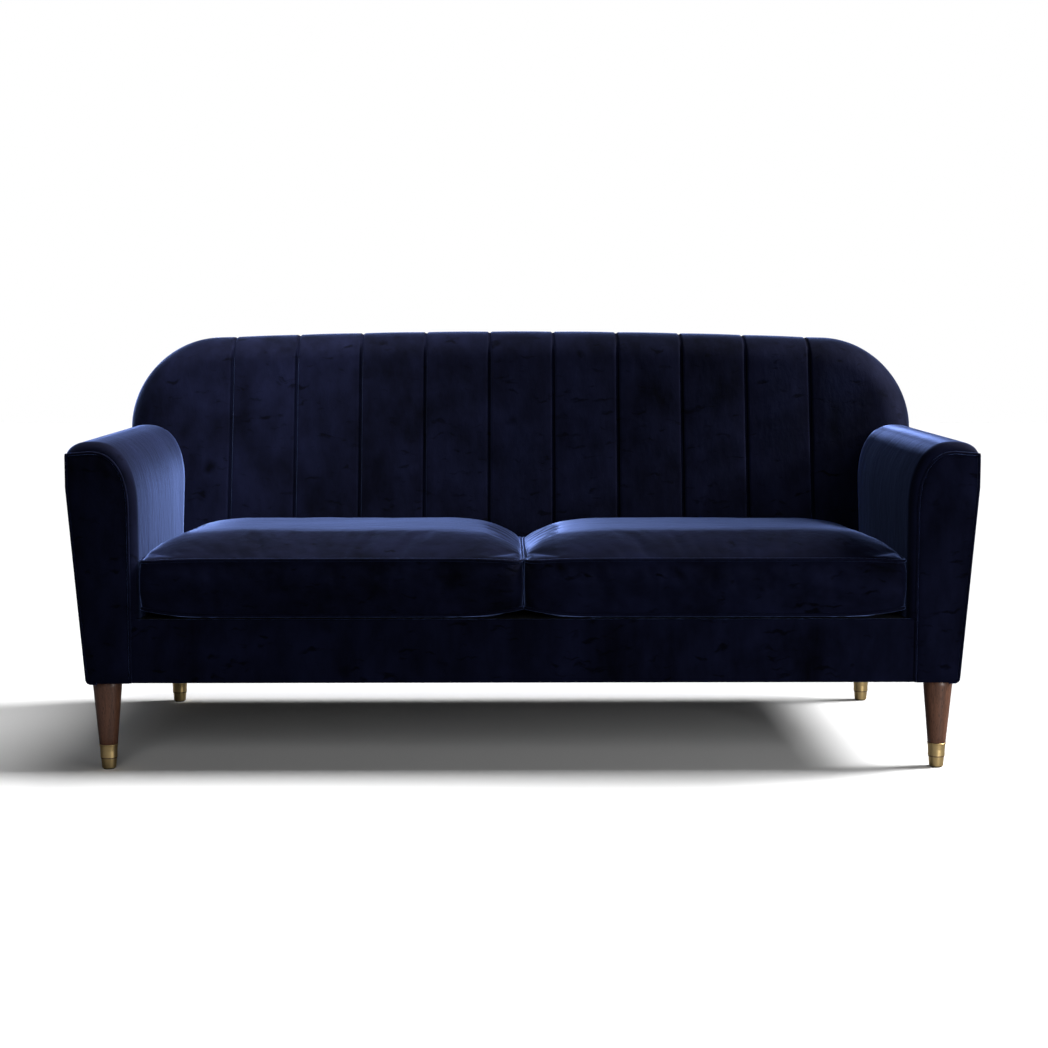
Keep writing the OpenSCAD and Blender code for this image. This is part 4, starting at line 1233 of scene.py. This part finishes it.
def buildLegs():
    top, collar, foot = leg["topRadius"], leg["ferruleTopRadius"], leg["ferruleFootRadius"]
    collarZ, footZ, topZ = leg["ferruleTopZ"], leg["footZ"], leg["topZ"]
    axis, wall = 1e-6, leg["ferruleWall"]  # radius that closes a profile, and the ferrule's wall
    for row in ("front", "rear"):
        for hand in ("left", "right"):
            low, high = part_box(f"leg_{row}_{hand}")
            centre = ((low.x + high.x) / 2, (low.y + high.y) / 2)
            heights = np.linspace(collarZ + 0.0012, topZ - 0.001, 12)
            radii = collar + (top - collar) * (heights - collarZ) / (topZ - collarZ)
            profile = [(axis, collarZ - 0.03), (collar * 0.9, collarZ - 0.03), (collar * 0.9, collarZ),
                       (collar - 0.0006, collarZ + 0.0003)]
            profile += list(zip(radii, heights)) + [(top - 0.001, topZ), (axis, topZ)]
            points, faces = lathe(profile, centre, leg["sides"])
            piece = newPiece(f"{row}_{hand}_leg_turned", points, faces, finishes["walnut"], sharp=50)
            fit(piece, "sofa_frame", [f"leg_{row}_{hand}"])
            profile = [(axis, footZ), (foot - wall, footZ), (foot - 0.0004, footZ + 0.0004),
                       (foot, footZ + 0.0014)]
            for t in np.linspace(0.05, 0.93, 8):
                profile.append((foot + (collar - foot) * t, footZ + (collarZ - footZ) * t))
            profile += [(collar + 0.0003, collarZ - 0.003), (collar + 0.0007, collarZ - 0.0018),
                        (collar + 0.0006, collarZ - 0.0004), (collar + 0.0001, collarZ),
                        (collar - wall, collarZ - 0.0002), (collar - wall, collarZ - 0.028),
                        (axis, collarZ - 0.028)]
            points, faces = lathe(profile, centre, leg["sides"])
            piece = newPiece(f"{row}_{hand}_ferrule_spun", points, faces, finishes["brass"], sharp=35)
            fit(piece, "sofa_frame", [f"ferrule_{row}_{hand}"])


buildLegs()
print("legs built")


# Sinuous springs, zips and staples
def buildSprings():
    low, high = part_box("seat_springs")
    radius = (high.z - low.z) / 2
    y0, y1 = low.y + radius, high.y - radius
    perSeat, amp, rowPitch, middleGap = 4, 0.027, 0.027, 0.0015
    pitch = (arm["innerX"] - middleGap) / perSeat
    rows = round((y1 - y0) / rowPitch)
    step = (y1 - y0) / rows
    c = step / 3
    path = []
    for i in range(rows + 1):
        s = 1 if i % 2 == 0 else -1
        corners = [(c - amp, 0), (amp - c, 0), (amp, c), (amp, step - c)]
        corners = corners if i < rows else corners[:2]
        path += [(s * a, y0 + i * step + b, low.z + radius) for a, b in corners]
    line = smoothLine(np.array(path), 2)
    lines = []
    for i in range(perSeat):
        x = middleGap + (i + 0.5) * pitch
        lines.append((line + (x, 0, 0), False))
        lines.append((line * (-1, 1, 1) + (-x, 0, 0), False))
    piece = runTree("sinuous_springs", "piping", lines, finishes["spring_steel"],
                    {"Radius": radius, "Sides": 8})
    fit(piece, "sofa_frame", ["seat_springs"])


def smallRing(name, size, thickness, turns=8, sides=4):
    # Flattened open loop, long across Z, for one tooth of a zip coil
    a = np.linspace(0, 2 * math.pi, turns, endpoint=False)
    b = np.linspace(0, 2 * math.pi, sides, endpoint=False)
    points = []
    for t in a:
        centre = np.array([0.0002 * math.sin(t), size[0] / 2 * math.cos(t), size[1] / 2 * math.sin(t)])
        out = np.array([0, math.cos(t), math.sin(t)])
        points += [centre + thickness * (math.cos(q) * out + math.sin(q) * np.array([1, 0, 0])) for q in b]
    index = np.arange(turns * sides).reshape(turns, sides)
    faces = tubeQuads(np.vstack([index, index[:1]]))
    return newPiece(name, np.array(points), faces, finishes["zip_metal"])


def smallRod(name, length, radius, ends=0.0):
    # Short thread or staple crown along X, with its ends turned down by `ends`
    line = [(-length / 2, 0, -ends), (-length / 2 + radius, 0, 0), (length / 2 - radius, 0, 0),
            (length / 2, 0, -ends)]
    a = np.linspace(0, 2 * math.pi, 5, endpoint=False)
    points = []
    for x, y, z in line:
        points += [(x, y + radius * math.cos(q), z + radius * math.sin(q)) for q in a]
    faces = tubeQuads(np.arange(20).reshape(4, 5))
    points = np.array(points + [line[0], line[-1]])
    caps = [[k, (k + 1) % 5, 20] for k in range(5)] + [[15 + k, 15 + (k + 1) % 5, 21] for k in range(5)]
    mesh = meshFrom(name, points, faces.tolist() + caps)
    work = bmesh.new()
    work.from_mesh(mesh)
    bmesh.ops.recalc_face_normals(work, faces=work.faces)
    work.to_mesh(mesh)
    work.free()
    return linked(name, mesh)


zipper = {
    "tapeOffset": 0.0041,
    "tapeHalf": (0.0019, 0.0004),  # half width and half thickness
    "tapeColumns": 90,
    "coilOffset": 0.0014,
    "toothPitch": 0.0013,
    "stitchOffset": 0.0036,
    "stitchPitch": 0.0034,
    "stitchLift": 0.0005,
    "stitchInset": 0.004,
}


def buildZip(side, name, tooth, stitch):
    outward = np.array([0, math.cos(back["lean"]), -math.sin(back["lean"])])
    upward = np.array([0, math.sin(back["lean"]), math.cos(back["lean"])])
    low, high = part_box(f"cushion_{name}_zip")
    x0, x1 = sorted((abs(low.x), abs(high.x)))
    middle = np.array([0, (low.y + high.y) / 2, (low.z + high.z) / 2])
    body, finish = f"cushion_{name}", finishes["zip_tape"]

    def linesAt(offset, lift=0.0, inset=0.0):
        bases = [middle + upward * up + outward * lift for up in (offset, -offset)]
        return [(sided(np.array([base + (x0 + inset, 0, 0), base + (x1 - inset, 0, 0)]), side), False)
                for base in bases]

    columns, (w, t) = zipper["tapeColumns"], zipper["tapeHalf"]
    points, faces = [], []
    for k, up in enumerate((zipper["tapeOffset"], -zipper["tapeOffset"])):
        section = [middle + upward * (up + a) + outward * b for a, b in ((-w, -t), (w, -t), (w, t), (-w, t))]
        points += [corner + (x, 0, 0) for x in np.linspace(x0, x1, columns) for corner in section]
        index = np.arange(4 * columns).reshape(columns, 4) + 4 * columns * k
        faces += [tubeQuads(index), index[[0, -1]]]
    tape = newPiece(f"{name}_zip_tape", sided(np.array(points), side), np.vstack(faces), finish, sharp=40)
    fit(tape, body, [f"cushion_{name}_zip"])
    coil = runTree(f"{name}_zip_coil", "row", linesAt(zipper["coilOffset"]), finish,
                   {"Shape": tooth, "Spacing": zipper["toothPitch"]})
    fit(coil, body)
    rows = linesAt(zipper["stitchOffset"], zipper["stitchLift"], zipper["stitchInset"])
    threads = runTree(f"{name}_zip_stitches", "row", rows, finish,
                      {"Shape": stitch, "Spacing": zipper["stitchPitch"]})
    fit(threads, body)


def buildZips():
    tooth = smallRing("tooth_shape", (0.0018, 0.0026), 0.00028)
    stitch = smallRod("stitch_shape", 0.0026, 0.00022, 0.0003)
    for side, name in ((1, "right"), (-1, "left")):
        buildZip(side, name, tooth, stitch)
    for shape in (tooth, stitch):
        bpy.data.objects.remove(shape)


def buildStaples():
    staple = smallRod("staple_shape", 0.011, 0.0004, -0.0006)
    low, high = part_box("dust_cover")
    z = low.z - 0.0003
    inset, spacing = 0.009, 0.042
    x0, x1, y0, y1 = low.x + inset, high.x - inset, low.y + inset, high.y - inset
    gap = 0.085  # keeps clear of the legs' plates
    lines = [([(x0 + gap, y0, z), (x1 - gap, y0, z)], False),
             ([(x1, y0 + gap, z), (x1, y1 - gap, z)], False),
             ([(x1 - gap, y1, z), (x0 + gap, y1, z)], False),
             ([(x0, y1 - gap, z), (x0, y0 + gap, z)], False)]
    piece = runTree("dust_cover_staples", "row", lines, finishes["zinc_steel"],
                    {"Shape": staple, "Spacing": spacing})
    fit(piece, "sofa_frame")
    bpy.data.objects.remove(staple)


buildSprings()
buildZips()
buildStaples()
print("springs, zips and staples built")


# Floor, light and camera
studio = {
    "floorSize": 36.0,
    "camera": (-0.032, -3.8671, 0.80245),
    "cameraTilt": 85.368,
    "cameraTurn": -0.54,
    "lens": 57.03,
    "roomLight": 0.012,
    "lamps": {
        # name: (kind, place, aim, size in metres or degrees, power, beam in degrees)
        "window": ("SUN", (1.0, 0.15, 1.0), (0, 0, 0), 22, 5.0),
        "front": ("SUN", (0.05, -1.0, 0.5), (0, 0, 0), 30, 0.5),
        "low": ("SUN", (0.65, -0.7, 0.36), (0, 0, 0), 20, 0.15),
        "floorRight": ("AREA", (1.6, -2.0, 0.4), (0.6, -0.43, 0.3), 0.6, 10, 140),
        "nearLeft": ("AREA", (-0.68, 0.08, 1.75), (-0.66, 0.15, 0.6), 0.5, 8.5, 120),
        "leftFill": ("AREA", (-0.55, -0.35, 1.45), (-0.76, 0.15, 0.65), 0.5, 2.4, 100),
        "lowRight": ("AREA", (2.5, 0.02, 1.36), (-0.4, -0.15, 0.5), 0.4, 8, 60),
    },
}


def buildFloor():
    size = studio["floorSize"]
    points = [(-size, -size, 0), (size, -size, 0), (size, size, 0), (-size, size, 0)]
    finish = bpy.data.materials.new("pale_floor")
    finish.use_nodes = True
    tree = finish.node_tree
    surface = tree.nodes["Principled BSDF"]
    surface.inputs["Roughness"].default_value = 0.9
    surface.inputs["Specular IOR Level"].default_value = 0.1
    seen = tree.nodes.new("ShaderNodeLightPath").outputs["Is Camera Ray"]
    colour = mixColours(tree, seen, (0.16, 0.16, 0.17, 1), (0.9, 0.9, 0.9, 1))
    tree.links.new(colour, surface.inputs["Base Color"])
    mesh = meshFrom("floor", points, [(0, 1, 2, 3)])
    mesh.materials.append(finish)
    linked("floor", mesh)


def buildLight():
    world = bpy.data.worlds.new("studio_room")
    scene.world = world
    world.use_nodes = True
    tree = world.node_tree
    background = tree.nodes["Background"]
    seen = tree.nodes.new("ShaderNodeLightPath").outputs["Is Camera Ray"]
    strength = remap(tree, seen, 0.0, 1.0, studio["roomLight"], 1.0)
    background.inputs["Color"].default_value = (1, 1, 1, 1)
    tree.links.new(strength, background.inputs["Strength"])
    for name, (kind, place, aim, size, power, *beam) in studio["lamps"].items():
        data = bpy.data.lights.new(name, kind)
        data.energy = power
        if kind == "SUN":
            data.angle = math.radians(size)
        else:
            data.size = size
            data.spread = math.radians(beam[0])
        lamp = linked(name, data)
        way = np.array(aim) - np.array(place)
        lamp.location = place
        flat = math.hypot(way[0], way[1])
        lamp.rotation_euler = (math.atan2(flat, -way[2]), 0, math.atan2(way[0], -way[1]) + math.pi)


def buildCamera():
    data = bpy.data.cameras.new("camera")
    data.lens = studio["lens"]
    data.sensor_width = 36
    camera = linked("camera", data)
    camera.location = studio["camera"]
    camera.rotation_euler = (math.radians(studio["cameraTilt"]), 0, math.radians(studio["cameraTurn"]))
    scene.camera = camera


buildFloor()
buildLight()
buildCamera()
scene.view_settings.view_transform = "Standard"
print("studio ready")
